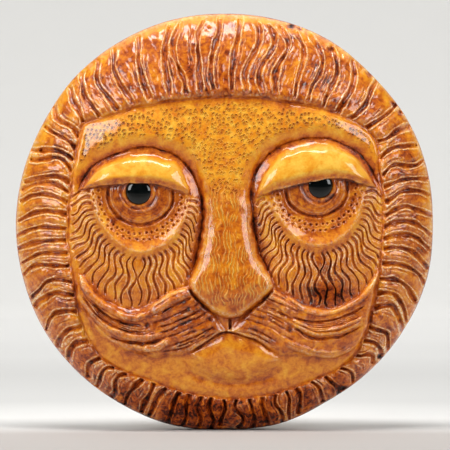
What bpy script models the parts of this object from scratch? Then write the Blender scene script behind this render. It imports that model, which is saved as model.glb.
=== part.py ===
"""Lion head wall plaque: a round relief in honey-glazed stoneware with glass pupils.

The plaque hangs on a wall in the plane y = 0 and faces -Y, with +Z up. The origin is
at the middle of the back face of the hanging rib, where the wall holds it.

The carving is laid out in shares: hundredths of the disc's radius, measured across
and up from the disc's centre, and out from the back. The walls, the rib, the flat
back border and the pupils' seats have real sizes of their own.
"""

import math

import bmesh
import bpy
import numpy as np

# Driving dimensions, in metres
DIAMETER = 0.300
RIM_HEIGHT = 0.010
CROWN_HEIGHT = 0.048
WALL = 0.006
BACK_BORDER = 0.022
DRAFT = 0.006
RIB_HEIGHT = 0.024
RIB_ABOVE_CENTRE = 0.072
NAIL_NOTCH_RADIUS = 0.006
NAIL_NOTCH_DEPTH = 0.022
PUPIL_DIAMETER = 0.0180
PUPIL_RISE = 0.0032
PUPIL_GIRDLE = 0.0026
PUPIL_SINK = 0.0008
PUPIL_CLEARANCE = 0.0003
CUTTER_MARGIN = 0.010

# Fineness of the solids
GRID_CELLS = 220
PLAQUE_TRIANGLES = 7400
TURNED_STEPS = 72
PUPIL_STEPS = 24
PUPIL_RINGS = 3

# Derived sizes
RADIUS = DIAMETER / 2
SHARE = RADIUS / 100
HOLLOW_RADIUS = RADIUS - BACK_BORDER
PUPIL_RADIUS = PUPIL_DIAMETER / 2

# The disc swells from the rim to the crown along this power of the radius, and the
# hollow behind it stays a wall's thickness clear of the deepest carving, in shares
SWELL_POWER = 2.6
DEEPEST_CARVING = 4.5

# Finishes: base colour, roughness
GLAZED_CLAY = ((0.47, 0.17, 0.03), 0.28)
DARK_GLASS = ((0.01, 0.015, 0.012), 0.05)

# Edge of the face inside the mane: angle in degrees from +X, radius in shares
FACE_EDGE = (
    (-159, 76.6), (-135, 86.0), (-113, 81.8), (-90, 83.0), (-64, 85.0), (-47, 88.5),
    (-35, 82.4), (-18, 75.8), (8, 74.6), (21, 77.6), (30, 80.8), (38, 77.5), (48, 70.8),
    (62, 64.3), (90, 59.0), (120, 64.9), (139, 76.3), (145, 81.8), (151, 79.5),
    (163, 75.6), (180, 74.3),
)

# How the mane's grooves run, in degrees: where one leaves the face, the step to the
# next, how far its outer end leans, how far its middle bows, and its second wave
MANE_FLOW = (
    (-170, 4.6, 0.3, -1.6, 0.3), (-150, 5.6, 0.8, -2.4, 0.2), (-135, 5.6, 0.8, -2.0, 0.3),
    (-118, 4.4, -0.5, -0.8, 0.4), (-90, 3.8, 0.0, 0.3, 0.3), (-66, 4.4, -0.8, 0.6, 0.5),
    (-48, 5.4, 0.5, 2.0, 0.3), (-30, 4.8, -2.0, 3.2, 0.0), (-10, 4.6, -3.2, 2.6, 0.0),
    (12, 4.9, 0.3, 2.1, -0.4), (28, 5.6, -0.5, 1.0, 0.3), (37, 5.0, 2.0, -0.6, 0.8),
    (52, 5.8, 7.5, -2.4, 1.6), (68, 6.4, 6.0, -2.6, 1.8), (82, 6.4, 0.8, -1.2, 1.6),
    (95, 6.2, -3.0, 0.6, 0.4), (107, 6.0, -4.5, 2.4, -0.3), (120, 6.2, -6.8, 2.2, 0.2),
    (135, 5.6, -6.8, 1.6, 0.8), (146, 4.6, -5.5, 1.0, 0.5), (156, 4.2, 0.5, -1.4, 0.4),
    (172, 4.2, 2.2, -2.0, 0.2),
)
MANE_END = 95.5
MANE_SEED = 7

# Nose: width, lift off the face and outline of its foot, in shares
NOSE_LIFT = ((-48, 6.0), (-38, 6.6), (-30, 6.6), (-10, 5.0), (10, 3.2), (30, 1.4), (50, 0.0))
NOSE_EDGE = (
    (-22, 50), (-15, 32), (-12, 18), (-10.5, 4.5), (-11.5, -4.5), (-13, -12.5), (-14.5, -20),
    (-17.5, -27), (-16.5, -32), (-12, -37), (-6, -42), (0.5, -44.5), (6.5, -43.5),
    (11.5, -40), (17.5, -35), (22, -30.5), (21, -25.5), (16.5, -16), (14, -6),
    (12.5, 5.5), (12, 11.5), (13.5, 22), (17, 34), (24, 50),
)

# Each eye: the lid's lower and upper edge, the crease over it that runs on down
# beside the nose, the ball, the pupil, the bag's ring and the reach of the cheek's hair
LEFT_EYE = {
    "lid_low": ((-67, 16), (-55, 18), (-41, 19), (-29, 17.5), (-16.5, 13.5)),
    "lid_top": ((-67, 16.5), (-64, 21), (-58, 27), (-50.5, 30.5), (-39.5, 32), (-29, 30),
                (-20.5, 25), (-16.5, 15)),
    "crease": ((-70, 12), (-68, 19), (-63.5, 26), (-53, 32.5), (-39.5, 35.5), (-25.5, 33),
               (-16.5, 25), (-12, 14.5), (-10.5, 4.5), (-11.5, -4.5), (-13, -12.5),
               (-15, -20), (-18, -27)),
    "ball": (-40.0, 14.0, 15.5),
    "pupil": (-40.5, 15.0),
    "bag": ((-63, 15), (-60, 4), (-53, -6), (-40.5, -12.5), (-27, -8), (-20, 2), (-17.5, 11)),
    "hair": ((-73, 13), (-73, 0), (-71.5, -14), (-67, -24), (-57, -33), (-46, -39), (-35, -37),
             (-25, -32), (-18, -25), (-15, -12), (-13, 0), (-13.5, 9)),
}
RIGHT_EYE = {
    "lid_low": ((14, 12), (24, 16), (35.5, 19), (48, 21), (57.5, 20.5), (70, 17)),
    "lid_top": ((14, 13.5), (16.5, 20), (21.5, 28.5), (31, 35), (43.5, 37.5), (55, 35),
                (65, 26.5), (70, 17.5)),
    "crease": ((73, 14), (70.5, 22), (65, 30.5), (55, 37.5), (42.5, 40.5), (28.5, 37.5),
               (16.5, 28.5), (12, 18.5), (11.5, 11.5), (12.5, 2), (14, -6), (17, -16),
               (22.5, -27)),
    "ball": (42.0, 17.0, 14.5),
    "pupil": (43.5, 18.0),
    "bag": ((64, 15), (62, 5), (57, -3), (48, -9), (38, -9), (28.5, -2), (22, 8), (18.5, 12)),
    "hair": ((73.5, 13), (73.5, 0), (72, -14), (70, -24), (62, -33), (51, -39.5), (40.5, -38.5),
             (31, -34), (23, -29), (18, -18), (15, -6), (14.5, 8)),
}
CHEEK_HAIRS = 16

# Each half of the moustache: upper and lower edge, from the nose out to its tip
MOUSTACHE = (
    (((-16, -29), (-26.5, -33), (-34, -37.5), (-41, -40), (-49.5, -39), (-60, -33), (-68.5, -24.5)),
     ((-0.5, -50.5), (-8.5, -55), (-17, -59.5), (-26.5, -61.5), (-32.5, -62), (-43, -60.5),
      (-53, -55), (-63.5, -45.5), (-70.5, -34))),
    (((21, -30), (30.5, -35), (40.5, -39.5), (51, -40.5), (61, -35), (68.5, -27.5), (71.5, -23)),
     ((1, -50.5), (9.5, -52.5), (20, -57.5), (25.5, -60.5), (32, -61), (40.5, -62.5), (50, -63),
      (61, -58.5), (68.5, -49))),
)
MOUSTACHE_STRANDS = 5

# Lower lip's outline and the fold under it
LIP_EDGE = ((-17, -60.5), (-8.5, -56.5), (-0.5, -52.5), (9.5, -54.5), (20, -59), (26, -63),
            (21, -68), (4.5, -72.5), (-10, -69.5), (-17, -60.5))
CHIN_FOLD = ((-22, -67), (-10, -73), (4.5, -75.5), (18, -73), (28, -68))


# Curves

def ease(low, high, x):
    """Go from 0 at low to 1 at high, level at both ends."""
    t = np.clip((x - low) / (high - low), 0, 1)
    return t * t * (3 - 2 * t)


def through(xs, ys, at):
    """Smooth curve through the points (xs, ys), read at the places in at."""
    xs = np.asarray(xs, float)
    ys = np.asarray(ys, float)
    slope = np.gradient(ys, xs)
    at = np.clip(at, xs[0], xs[-1])
    k = np.clip(np.searchsorted(xs, at, side="right") - 1, 0, len(xs) - 2)
    step = xs[k + 1] - xs[k]
    t = (at - xs[k]) / step
    start = (2 * t**3 - 3 * t**2 + 1) * ys[k] + (t**3 - 2 * t**2 + t) * step * slope[k]
    end = (3 * t**2 - 2 * t**3) * ys[k + 1] + (t**3 - t**2) * step * slope[k + 1]
    return start + end


def round_the_disc(knots, column, angle):
    """Read one column of a table of angles as a smooth closed curve."""
    angles = np.array([row[0] for row in knots], float)
    values = np.array([row[column] for row in knots], float)
    turns = np.concatenate([angles - 360, angles, angles + 360])
    return through(turns, np.tile(values, 3), angle)


def smooth_path(points, count=24):
    """Smooth line through the points, at even steps of its length."""
    points = np.asarray(points, float)
    steps = np.hypot(*np.diff(points, axis=0).T)
    length = np.concatenate([[0], np.cumsum(steps)])
    at = np.linspace(0, length[-1], count)
    return np.stack([through(length, points[:, 0], at), through(length, points[:, 1], at)], 1)


def pillow(distance, width):
    """Round shoulder: 0 at an edge, 1 from a width inside it."""
    return 1 - (1 - np.clip(distance / width, 0, 1))**2


def mound(distance):
    """Even mound: 1 in the middle, 0 from a distance of 1."""
    return np.clip(1 - distance**2, 0, 1)**2


# Marks in the clay

def nearest_on_path(u, v, path, reach):
    """Points within reach of a path: their indices, distances and places along it."""
    low = path.min(0) - reach
    high = path.max(0) + reach
    close = np.flatnonzero((u > low[0]) & (u < high[0]) & (v > low[1]) & (v < high[1]))
    run = np.diff(path, axis=0)
    length = np.maximum((run**2).sum(1), 1e-12)
    across = u[close, None] - path[:-1, 0]
    up = v[close, None] - path[:-1, 1]
    t = np.clip((across * run[:, 0] + up * run[:, 1]) / length, 0, 1)
    gap = (across - t * run[:, 0])**2 + (up - t * run[:, 1])**2
    best = gap.argmin(1)
    row = np.arange(len(close))
    return close, np.sqrt(gap[row, best]), (best + t[row, best]) / len(length)


def strokes(u, v, paths, width, ends, power):
    """Marks along the paths: 1 on a path, 0 a width off it, fading at both ends."""
    mark = np.zeros_like(u)
    for path in paths:
        close, gap, along = nearest_on_path(u, v, path, width)
        fade = ease(-0.02, ends[0], along) * ease(-0.02, ends[1], 1 - along)
        value = np.clip(1 - gap / width, 0, 1)**power * fade
        mark[close] = np.maximum(mark[close], value)
    return mark


def inside_outline(u, v, outline, reach):
    """Distance to a closed outline, positive within it and -reach far from it."""
    closed = np.vstack([outline, outline[:1]])
    close, gap, _ = nearest_on_path(u, v, closed, reach)
    x0, y0 = closed[:-1].T
    x1, y1 = closed[1:].T
    level = v[close, None]
    crosses = (y0 > level) != (y1 > level)
    rise = np.where(np.abs(y1 - y0) < 1e-9, 1e-9, y1 - y0)
    meets = x0 + (level - y0) * (x1 - x0) / rise
    within = (crosses & (u[close, None] < meets)).sum(1) % 2 == 1
    distance = np.full_like(u, -reach)
    distance[close] = np.where(within, gap, -gap)
    return distance


# The relief, in shares

def swell(radius):
    """Height of the plain disc over its back: full at the crown, low at the rim."""
    rim = RIM_HEIGHT / SHARE
    crown = CROWN_HEIGHT / SHARE
    part = np.clip(radius / 100, 0, 1)**SWELL_POWER
    return rim + (crown - rim) * np.sqrt(np.clip(1 - part, 0, 1))


def depth_in_face(u, v):
    """Distance in from the face's edge, negative out in the mane."""
    angle = np.degrees(np.arctan2(v, u))
    edge = round_the_disc(FACE_EDGE, 1, angle)
    step = round_the_disc(FACE_EDGE, 1, angle + 1) - round_the_disc(FACE_EDGE, 1, angle - 1)
    slope = step / math.radians(2) / edge
    return (edge - np.hypot(u, v)) / np.sqrt(1 + slope**2)


def mane_grooves():
    """S-shaped grooves from the face's edge to the rim, one after another."""
    draw = np.random.default_rng(MANE_SEED)
    along = np.linspace(0, 1, 22)
    paths = []
    angle = -178.0
    while angle < 178:
        at = np.array([angle])
        step, lean, bow, wave = (round_the_disc(MANE_FLOW, column, at)[0] for column in range(1, 5))
        inner = round_the_disc(FACE_EDGE, 1, at)[0] + 2.2
        outer = MANE_END + draw.uniform(-1.5, 1.5)
        jitter = draw.normal(0, 1, 3)
        turn = angle + (lean + 0.5 * jitter[0]) * along
        turn = turn + (bow + 0.35 * jitter[1]) * np.sin(math.pi * along)
        turn = turn - (wave + 0.25 * jitter[2]) * np.sin(2 * math.pi * along)
        reach = inner + (outer - inner) * along
        turn = np.radians(turn)
        paths.append(np.stack([reach * np.cos(turn), reach * np.sin(turn)], 1))
        angle += step * (1 + 0.16 * draw.uniform(-1, 1))
    return paths


def mane_and_field(u, v, depth):
    """Mane raised in a roll round the sunk face, cut into strands."""
    out = np.clip(-depth, 0, None)
    height = np.where(depth < 0, 2.2 * np.exp(-out / 9) * ease(0, 2.2, out), 0)
    height -= ease(-0.6, 0.6, depth) * 2.2 * np.exp(-np.clip(depth, 0, None) / 10)
    height -= 2.6 * np.clip(1 - np.abs(depth + 0.6) / 2.4, 0, 1)**1.2
    grooves = strokes(u, v, mane_grooves(), 2.9, (0.05, 0.12), 1.1)
    return height - ease(0.4, 2.0, out) * 2.4 * grooves


def nose_distance(u, v):
    """Distance into the nose from the foot of its sides."""
    return inside_outline(u, v, smooth_path(NOSE_EDGE, 90), 14)


def nose(u, v):
    """Long ridge that widens to a blunt tip, with a narrow step along each side."""
    levels, lifts = zip(*NOSE_LIFT)
    lift = through(levels, lifts, v)
    distance = nose_distance(u, v)
    return lift * (0.4 * pillow(distance, 2.2) + 0.6 * pillow(distance, 13))


def eye_socket(u, v, eye):
    """Crease, bowl, ball and the ring of the bag under the eye."""
    across, up, ball = eye["ball"]
    height = -3.4 * strokes(u, v, [smooth_path(eye["crease"], 60)], 6.0, (0.1, 0.08), 1.5)
    height -= 3.0 * mound(np.hypot(u - across, v - up + 2) / 25)
    dome = np.sqrt(np.clip(1 - (np.hypot(u - across, (v - up) * 1.1) / ball)**2, 0, 1))
    height += 3.6 * dome
    height += 1.7 * strokes(u, v, [smooth_path(eye["bag"], 50)], 4.2, (0.1, 0.1), 1.2)
    height += 1.6 * mound(np.hypot((u - across) / 32, (v + 22) / 20))
    return height


def lid(u, v, eye):
    """Heavy lid: where it lies, and its height over the plain disc."""
    low_u, low_v = zip(*eye["lid_low"])
    top_u, top_v = zip(*eye["lid_top"])
    low = through(low_u, low_v, u)
    top = through(top_u, top_v, u)
    part = (v - low) / np.clip(top - low, 0.5, None)
    ends = np.clip(np.minimum(u - low_u[0], low_u[-1] - u) / 10, 0, 1)**0.6
    turned_under = 0.74 + 0.26 * ease(0, 0.3, part)
    rounded = np.clip(1 - (np.clip(part - 0.25, 0, None) / 0.85)**2, 0, 1)
    where = (u > low_u[0]) & (u < low_u[-1]) & (part < 1.1)
    cover = np.where(where, ease(-0.3, 0.3, v - low) * ease(1.1, 0.8, part), 0)
    return cover, 5.0 * turned_under * rounded * ends - 0.3


def cheek_hairs(eye, side):
    """Wavy hairs from the bag's ring out over the cheek."""
    inner = smooth_path(eye["bag"], CHEEK_HAIRS)
    outer = smooth_path(eye["hair"], CHEEK_HAIRS)
    along = np.linspace(0.15, 1, 14)[:, None]
    hairs = []
    for start, end in zip(inner, outer):
        run = end - start
        across = np.array([-run[1], run[0]]) * side
        hairs.append(start + run * along + 0.045 * across * np.sin(2 * math.pi * along))
    return hairs


def moustache(u, v):
    """Two raised wings of hair, each cut into strands along its run."""
    height = np.zeros_like(u)
    for top, low in MOUSTACHE:
        top = smooth_path(top, 40)
        low = smooth_path(low, 40)
        distance = inside_outline(u, v, np.vstack([top, low[::-1]]), 4)
        body = pillow(distance + 0.8, 5)
        shares = np.linspace(0.08, 0.92, MOUSTACHE_STRANDS)
        strands = [top * (1 - share) + low * share for share in shares]
        height += body * (3.2 - 1.5 * strokes(u, v, strands, 3.2, (0.05, 0.1), 1.2))
    return height


def mouth(u, v):
    """Full lower lip over a soft fold in the chin."""
    distance = inside_outline(u, v, smooth_path(LIP_EDGE, 60), 4)
    fold = strokes(u, v, [smooth_path(CHIN_FOLD, 30)], 4, (0.15, 0.15), 1.3)
    return 1.8 * pillow(distance + 0.5, 7) - 1.2 * fold


def relief(u, v):
    """Height of the carved front over the back plane, in shares.

    u and v are flat arrays of places across and up from the disc's centre, in shares.
    """
    plain = swell(np.hypot(u, v))
    depth = depth_in_face(u, v)
    face = ease(-0.6, 0.6, depth)
    height = plain + mane_and_field(u, v, depth)
    height += face * 1.8 * (mound(np.hypot((u + 41) / 34, (v - 42) / 16))
                            + mound(np.hypot((u - 42) / 34, (v - 46) / 16)))
    height += face * moustache(u, v) * (1 - ease(-1.5, 0.5, nose_distance(u, v)))
    height += face * (nose(u, v) + mouth(u, v))
    for eye, side in ((LEFT_EYE, 1), (RIGHT_EYE, -1)):
        height += face * eye_socket(u, v, eye)
        height -= face * 0.9 * strokes(u, v, cheek_hairs(eye, side), 2.6, (0.2, 0.15), 1.2)
        cover, lid_height = lid(u, v, eye)
        height += cover * (plain + lid_height - height)
    return height


# Blender objects

def clear_scene():
    """Remove every object that the file opened with."""
    for scene_object in list(bpy.data.objects):
        bpy.data.objects.remove(scene_object, do_unlink=True)


def new_collection(name):
    """Add a collection to the scene."""
    collection = bpy.data.collections.new(name)
    bpy.context.scene.collection.children.link(collection)
    return collection


def new_material(name, finish):
    """Principled surface of one colour and roughness."""
    colour, roughness = finish
    material = bpy.data.materials.new(name)
    material.use_nodes = True
    shader = material.node_tree.nodes["Principled BSDF"]
    shader.inputs["Base Color"].default_value = (*colour, 1)
    shader.inputs["Roughness"].default_value = roughness
    shader.inputs["Metallic"].default_value = 0
    return material


def new_object(name, mesh, collection, material=None):
    """Place a mesh so that its +Z side faces -Y, level with the disc's centre."""
    item = bpy.data.objects.new(name, mesh)
    item.rotation_euler = (math.pi / 2, 0, 0)
    item.location = (0, 0, -RIB_ABOVE_CENTRE)
    collection.objects.link(item)
    if material:
        mesh.materials.append(material)
    return item


def as_cutter(item):
    """Mark an object as a guide that is no part of the plaque."""
    item.hide_render = True
    item.display_type = "WIRE"
    return item


def cut(item, cutter):
    """Take a cutter's space out of an object."""
    boolean = item.modifiers.new("Cut " + cutter.name, "BOOLEAN")
    boolean.operation = "DIFFERENCE"
    boolean.solver = "EXACT"
    boolean.object = cutter


def turned(name, profile, steps, collection, material=None):
    """Turn a profile of (radius, height) about the axis, from its top down."""
    mesh = bpy.data.meshes.new(name)
    points = [(radius, 0, height) for radius, height in profile]
    edges = [(i, i + 1) for i in range(len(points) - 1)]
    mesh.from_pydata(points, edges, [])
    item = new_object(name, mesh, collection, material)
    screw = item.modifiers.new("Turn", "SCREW")
    screw.axis = "Z"
    screw.steps = steps
    screw.render_steps = steps
    screw.use_merge_vertices = True
    screw.merge_threshold = 0.00005
    return item


def carved_slab():
    """Closed slab: a grid drawn out to a disc, raised by the relief, with a deep foot."""
    mesh = bpy.data.meshes.new("plaque")
    body = bmesh.new()
    bmesh.ops.create_grid(body, x_segments=GRID_CELLS, y_segments=GRID_CELLS, size=1)
    square = np.array([vert.co[:2] for vert in body.verts])
    u = 100 * square[:, 0] * np.sqrt(1 - square[:, 1]**2 / 2)
    v = 100 * square[:, 1] * np.sqrt(1 - square[:, 0]**2 / 2)
    height = relief(u, v)
    for vert, across, up, out in zip(body.verts, u * SHARE, v * SHARE, height * SHARE):
        vert.co = (across, up, out)
    rim = [edge for edge in body.edges if edge.is_boundary]
    foot = bmesh.ops.extrude_edge_only(body, edges=rim)["geom"]
    for vert in foot:
        if isinstance(vert, bmesh.types.BMVert):
            vert.co.z = -CUTTER_MARGIN
    last = [edge for edge in foot if isinstance(edge, bmesh.types.BMEdge)]
    bmesh.ops.contextual_create(body, geom=last)
    bmesh.ops.recalc_face_normals(body, faces=body.faces)
    body.to_mesh(mesh)
    body.free()
    return mesh


def back_cutter(cutters):
    """Space behind the plaque: all past the back plane, and the hollow but for its rib."""
    side = HOLLOW_RADIUS - DRAFT
    radii = side * np.sqrt(np.linspace(0, 1, 7))
    roof = WALL + DEEPEST_CARVING * SHARE
    ceiling = [(radius, float(swell(radius / SHARE)) * SHARE - roof) for radius in radii]
    wide = RADIUS + CUTTER_MARGIN
    profile = ceiling + [(HOLLOW_RADIUS, 0), (wide, 0), (wide, -3 * CUTTER_MARGIN), (0, -3 * CUTTER_MARGIN)]
    space = as_cutter(turned("hollow", profile, TURNED_STEPS, cutters))
    mesh = bpy.data.meshes.new("rib")
    body = bmesh.new()
    bmesh.ops.create_cube(body, size=1)
    bmesh.ops.scale(body, vec=(DIAMETER, RIB_HEIGHT, CROWN_HEIGHT), verts=body.verts)
    bmesh.ops.translate(body, vec=(0, RIB_ABOVE_CENTRE, CROWN_HEIGHT / 2), verts=body.verts)
    body.to_mesh(mesh)
    body.free()
    rib = as_cutter(new_object("rib", mesh, cutters))
    cut(space, rib)
    return space


def notch_cutter(cutters):
    """Round notch in the rib's lower side, where the nail sits."""
    mesh = bpy.data.meshes.new("nail_notch")
    body = bmesh.new()
    bmesh.ops.create_cone(body, cap_ends=True, segments=24, radius1=NAIL_NOTCH_RADIUS,
                          radius2=NAIL_NOTCH_RADIUS, depth=NAIL_NOTCH_DEPTH + CUTTER_MARGIN)
    middle = (NAIL_NOTCH_DEPTH - CUTTER_MARGIN) / 2
    low_side = RIB_ABOVE_CENTRE - RIB_HEIGHT / 2
    bmesh.ops.translate(body, vec=(0, low_side, middle), verts=body.verts)
    body.to_mesh(mesh)
    body.free()
    return as_cutter(new_object("nail_notch", mesh, cutters))


def pupil_profile(clearance):
    """Low dome over a straight girdle and a flat back, from its top down."""
    radius = PUPIL_RADIUS + clearance
    rise = PUPIL_RISE + clearance
    turn = np.linspace(0, math.pi / 2, PUPIL_RINGS + 1)
    dome = [(radius * math.sin(a), rise * math.cos(a)) for a in turn]
    return [(0, rise)] + dome[1:] + [(radius, -PUPIL_GIRDLE - clearance), (0, -PUPIL_GIRDLE - clearance)]


def pupil_place(eye):
    """Centre of the pupil's girdle: sunk so that the ball's clay meets its dome."""
    across, up = eye["pupil"]
    around = np.linspace(math.pi, 2 * math.pi, 9)
    share = PUPIL_RADIUS / SHARE
    ring = relief(across + share * np.cos(around), up + share * np.sin(around))
    return across * SHARE, up * SHARE, float(ring.mean()) * SHARE - PUPIL_SINK


def add_pupil(name, eye, plaque, parts, cutters, glass):
    """Glass pupil in its own seat in the eye's ball."""
    across, up, out = pupil_place(eye)
    pupil = turned(name, pupil_profile(0), PUPIL_STEPS, parts, glass)
    seat = as_cutter(turned(name + "_seat", pupil_profile(PUPIL_CLEARANCE), PUPIL_STEPS, cutters))
    for item in (pupil, seat):
        item.location = (across, -out, up - RIB_ABOVE_CENTRE)
    cut(plaque, seat)
    return pupil


def main():
    """Build the plaque and its two pupils."""
    clear_scene()
    parts = new_collection("lion_head_wall_plaque")
    cutters = new_collection("cutters")
    clay = new_material("honey_glazed_stoneware", GLAZED_CLAY)
    glass = new_material("dark_glass", DARK_GLASS)
    plaque = new_object("plaque", carved_slab(), parts, clay)
    decimate = plaque.modifiers.new("Facets", "DECIMATE")
    decimate.ratio = PLAQUE_TRIANGLES / (2 * GRID_CELLS**2)
    cut(plaque, back_cutter(cutters))
    cut(plaque, notch_cutter(cutters))
    add_pupil("left_pupil", LEFT_EYE, plaque, parts, cutters, glass)
    add_pupil("right_pupil", RIGHT_EYE, plaque, parts, cutters, glass)
    for item in parts.objects:
        item.data.shade_smooth()


main()
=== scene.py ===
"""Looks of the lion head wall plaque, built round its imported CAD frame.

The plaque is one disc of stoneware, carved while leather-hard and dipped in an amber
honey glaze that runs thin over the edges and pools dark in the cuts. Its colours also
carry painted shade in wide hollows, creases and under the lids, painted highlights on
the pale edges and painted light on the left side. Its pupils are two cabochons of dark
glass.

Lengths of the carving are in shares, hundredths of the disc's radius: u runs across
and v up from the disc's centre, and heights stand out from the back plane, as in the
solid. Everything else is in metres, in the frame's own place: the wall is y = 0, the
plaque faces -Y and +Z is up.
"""

import logging
import math
from dataclasses import dataclass
from enum import Enum
from typing import Sequence

import bpy
import numpy as np
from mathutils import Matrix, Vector

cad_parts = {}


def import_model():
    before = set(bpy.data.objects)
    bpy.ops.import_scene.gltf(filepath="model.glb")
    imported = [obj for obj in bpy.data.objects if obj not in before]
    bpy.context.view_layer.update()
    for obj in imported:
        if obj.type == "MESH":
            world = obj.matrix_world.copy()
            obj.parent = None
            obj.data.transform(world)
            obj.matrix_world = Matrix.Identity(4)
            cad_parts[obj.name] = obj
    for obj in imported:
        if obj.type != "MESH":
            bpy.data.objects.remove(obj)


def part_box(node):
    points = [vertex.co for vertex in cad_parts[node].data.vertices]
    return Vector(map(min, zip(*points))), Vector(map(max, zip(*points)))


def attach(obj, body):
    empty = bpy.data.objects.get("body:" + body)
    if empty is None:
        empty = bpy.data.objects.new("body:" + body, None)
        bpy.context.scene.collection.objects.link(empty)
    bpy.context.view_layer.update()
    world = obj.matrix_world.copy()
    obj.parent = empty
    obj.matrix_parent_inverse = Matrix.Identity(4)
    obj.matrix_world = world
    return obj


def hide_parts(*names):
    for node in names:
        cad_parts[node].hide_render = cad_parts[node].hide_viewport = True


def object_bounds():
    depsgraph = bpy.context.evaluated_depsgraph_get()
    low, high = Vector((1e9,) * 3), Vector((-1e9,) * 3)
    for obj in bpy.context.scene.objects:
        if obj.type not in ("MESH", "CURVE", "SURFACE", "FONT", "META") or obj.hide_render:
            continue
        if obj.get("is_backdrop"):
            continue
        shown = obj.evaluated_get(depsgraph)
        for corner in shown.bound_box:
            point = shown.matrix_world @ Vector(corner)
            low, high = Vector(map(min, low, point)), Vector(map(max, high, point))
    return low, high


Array = np.ndarray
Points = Sequence[tuple[float, float]]
Place = tuple[float, float, float]
Socket = bpy.types.NodeSocket

log = logging.getLogger("lion_head_plaque")


# Curves and soft shapes

def ease(low: float, high: float, x: Array) -> Array:
    """Go from 0 at low to 1 at high, level at both ends (the cubic 3t^2 - 2t^3)."""
    t = np.clip((x - low) / (high - low), 0, 1)
    return t * t * (3 - 2 * t)


def through(xs: Array, ys: Array, at: Array) -> Array:
    """Read a smooth curve through points at many places.

    Each stretch is a cubic Hermite curve whose end slopes are those of the points.

    Args:
        xs: the points' places, rising.
        ys: the points' values.
        at: where the curve is read, held within the points.

    Returns:
        The curve's values.
    """
    xs = np.asarray(xs, float)
    ys = np.asarray(ys, float)
    slope = np.gradient(ys, xs)
    at = np.clip(at, xs[0], xs[-1])
    k = np.clip(np.searchsorted(xs, at, side="right") - 1, 0, len(xs) - 2)
    step = xs[k + 1] - xs[k]
    t = (at - xs[k]) / step
    start = (2 * t**3 - 3 * t**2 + 1) * ys[k] + (t**3 - 2 * t**2 + t) * step * slope[k]
    end = (3 * t**2 - 2 * t**3) * ys[k + 1] + (t**3 - t**2) * step * slope[k + 1]
    return start + end


def round_the_disc(knots: Sequence[tuple[float, ...]], column: int, angle: Array) -> Array:
    """Read one column of a table of angles in degrees as a smooth closed curve."""
    angles = np.array([row[0] for row in knots], float)
    values = np.array([row[column] for row in knots], float)
    turns = np.concatenate([angles - 360, angles, angles + 360])
    return through(turns, np.tile(values, 3), angle)


def smooth_path(points: Points, count: int = 24) -> Array:
    """Smooth line through the points, at even steps of its length."""
    points = np.asarray(points, float)
    steps = np.hypot(*np.diff(points, axis=0).T)
    length = np.concatenate([[0], np.cumsum(steps)])
    at = np.linspace(0, length[-1], count)
    return np.stack([through(length, points[:, 0], at), through(length, points[:, 1], at)], 1)


def pillow(distance: Array, width: float) -> Array:
    """Round shoulder: 0 at an edge, 1 from a width inside it (1 - (1 - d/w)^2)."""
    return 1 - (1 - np.clip(distance / width, 0, 1))**2


def mound(distance: Array) -> Array:
    """Even mound: 1 in the middle, 0 from a distance of 1 ((1 - d^2)^2)."""
    return np.clip(1 - distance**2, 0, 1)**2


def crest(distance: Array, width: float) -> Array:
    """Bell-shaped ridge along distance 0: exp(-(d/w)^2)."""
    return np.exp(-(distance / width)**2)


def bearing(u: Array, v: Array) -> Array:
    """Angle about the disc's centre, in degrees from +X."""
    return np.degrees(np.arctan2(v, u))


# Seeded unevenness

def lattice(column: Array, row: Array, seed: int) -> Array:
    """Even random number from 0 to 1 for each cell, the same at each run.

    It is the fraction left of a large sine of the cell's column, row and seed.
    """
    mixed = np.sin(column * 127.1 + row * 311.7 + seed * 74.7) * 43758.5453
    return mixed - np.floor(mixed)


def lumps(u: Array, v: Array, size: float, seed: int) -> Array:
    """Smooth random lumps from -1 to 1, with even corners joined by eased steps."""
    x = u / size
    y = v / size
    column = np.floor(x)
    row = np.floor(y)
    s = ease(0, 1, x - column)
    t = ease(0, 1, y - row)
    low = lattice(column, row, seed) * (1 - s) + lattice(column + 1, row, seed) * s
    high = lattice(column, row + 1, seed) * (1 - s) + lattice(column + 1, row + 1, seed) * s
    return 2 * (low * (1 - t) + high * t) - 1


def uneven(u: Array, v: Array, layers: Points, seed: int) -> Array:
    """Lumps of several kinds added up, each kind with its height and its size in shares."""
    return sum(high * lumps(u, v, size, seed + k) for k, (high, size) in enumerate(layers))


@dataclass(frozen=True)
class Pecks:
    """Small tool marks, one to each cell of a staggered lattice.

    Attributes:
        pitch: a cell's width and height, in shares.
        half: a mark's half width and half height, in shares.
        wander: how far a mark strays from its cell's middle, as a part of the cell.
        lean: how far a mark leans sideways for each share of height.
        seed: fixes the marks' places.
    """
    pitch: tuple[float, float]
    half: tuple[float, float]
    wander: float
    lean: float
    seed: int

    def gap(self, u: Array, v: Array) -> Array:
        """Distance to the nearest mark in half sizes: 1 on a mark's edge.

        It is the least elliptical distance to the marks of the nine cells round a point.
        """
        row = np.floor(v / self.pitch[1])
        least = np.full_like(u, 9.0)
        for down in (-1, 0, 1):
            line = row + down
            shift = 0.5 * (line % 2)
            x = u / self.pitch[0] - shift
            column = np.floor(x)
            for along in (-1, 0, 1):
                cell = column + along
                stray_u = self.wander * (2 * lattice(cell, line, self.seed) - 1)
                stray_v = self.wander * (2 * lattice(cell, line, self.seed + 1) - 1)
                up = (v / self.pitch[1] - line - 0.5 - stray_v) * self.pitch[1]
                across = (x - cell - 0.5 - stray_u) * self.pitch[0] - self.lean * up
                least = np.minimum(least, (across / self.half[0])**2 + (up / self.half[1])**2)
        return np.sqrt(least)

    def height(self, u: Array, v: Array) -> Array:
        """Pits 1 deep with a low lip: -(1 - d^2)^2, and a crest of 0.3 at d = 1.35."""
        gap = self.gap(u, v)
        return 0.3 * crest(gap - 1.35, 0.35) - mound(gap)


# Marks along lines

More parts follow.
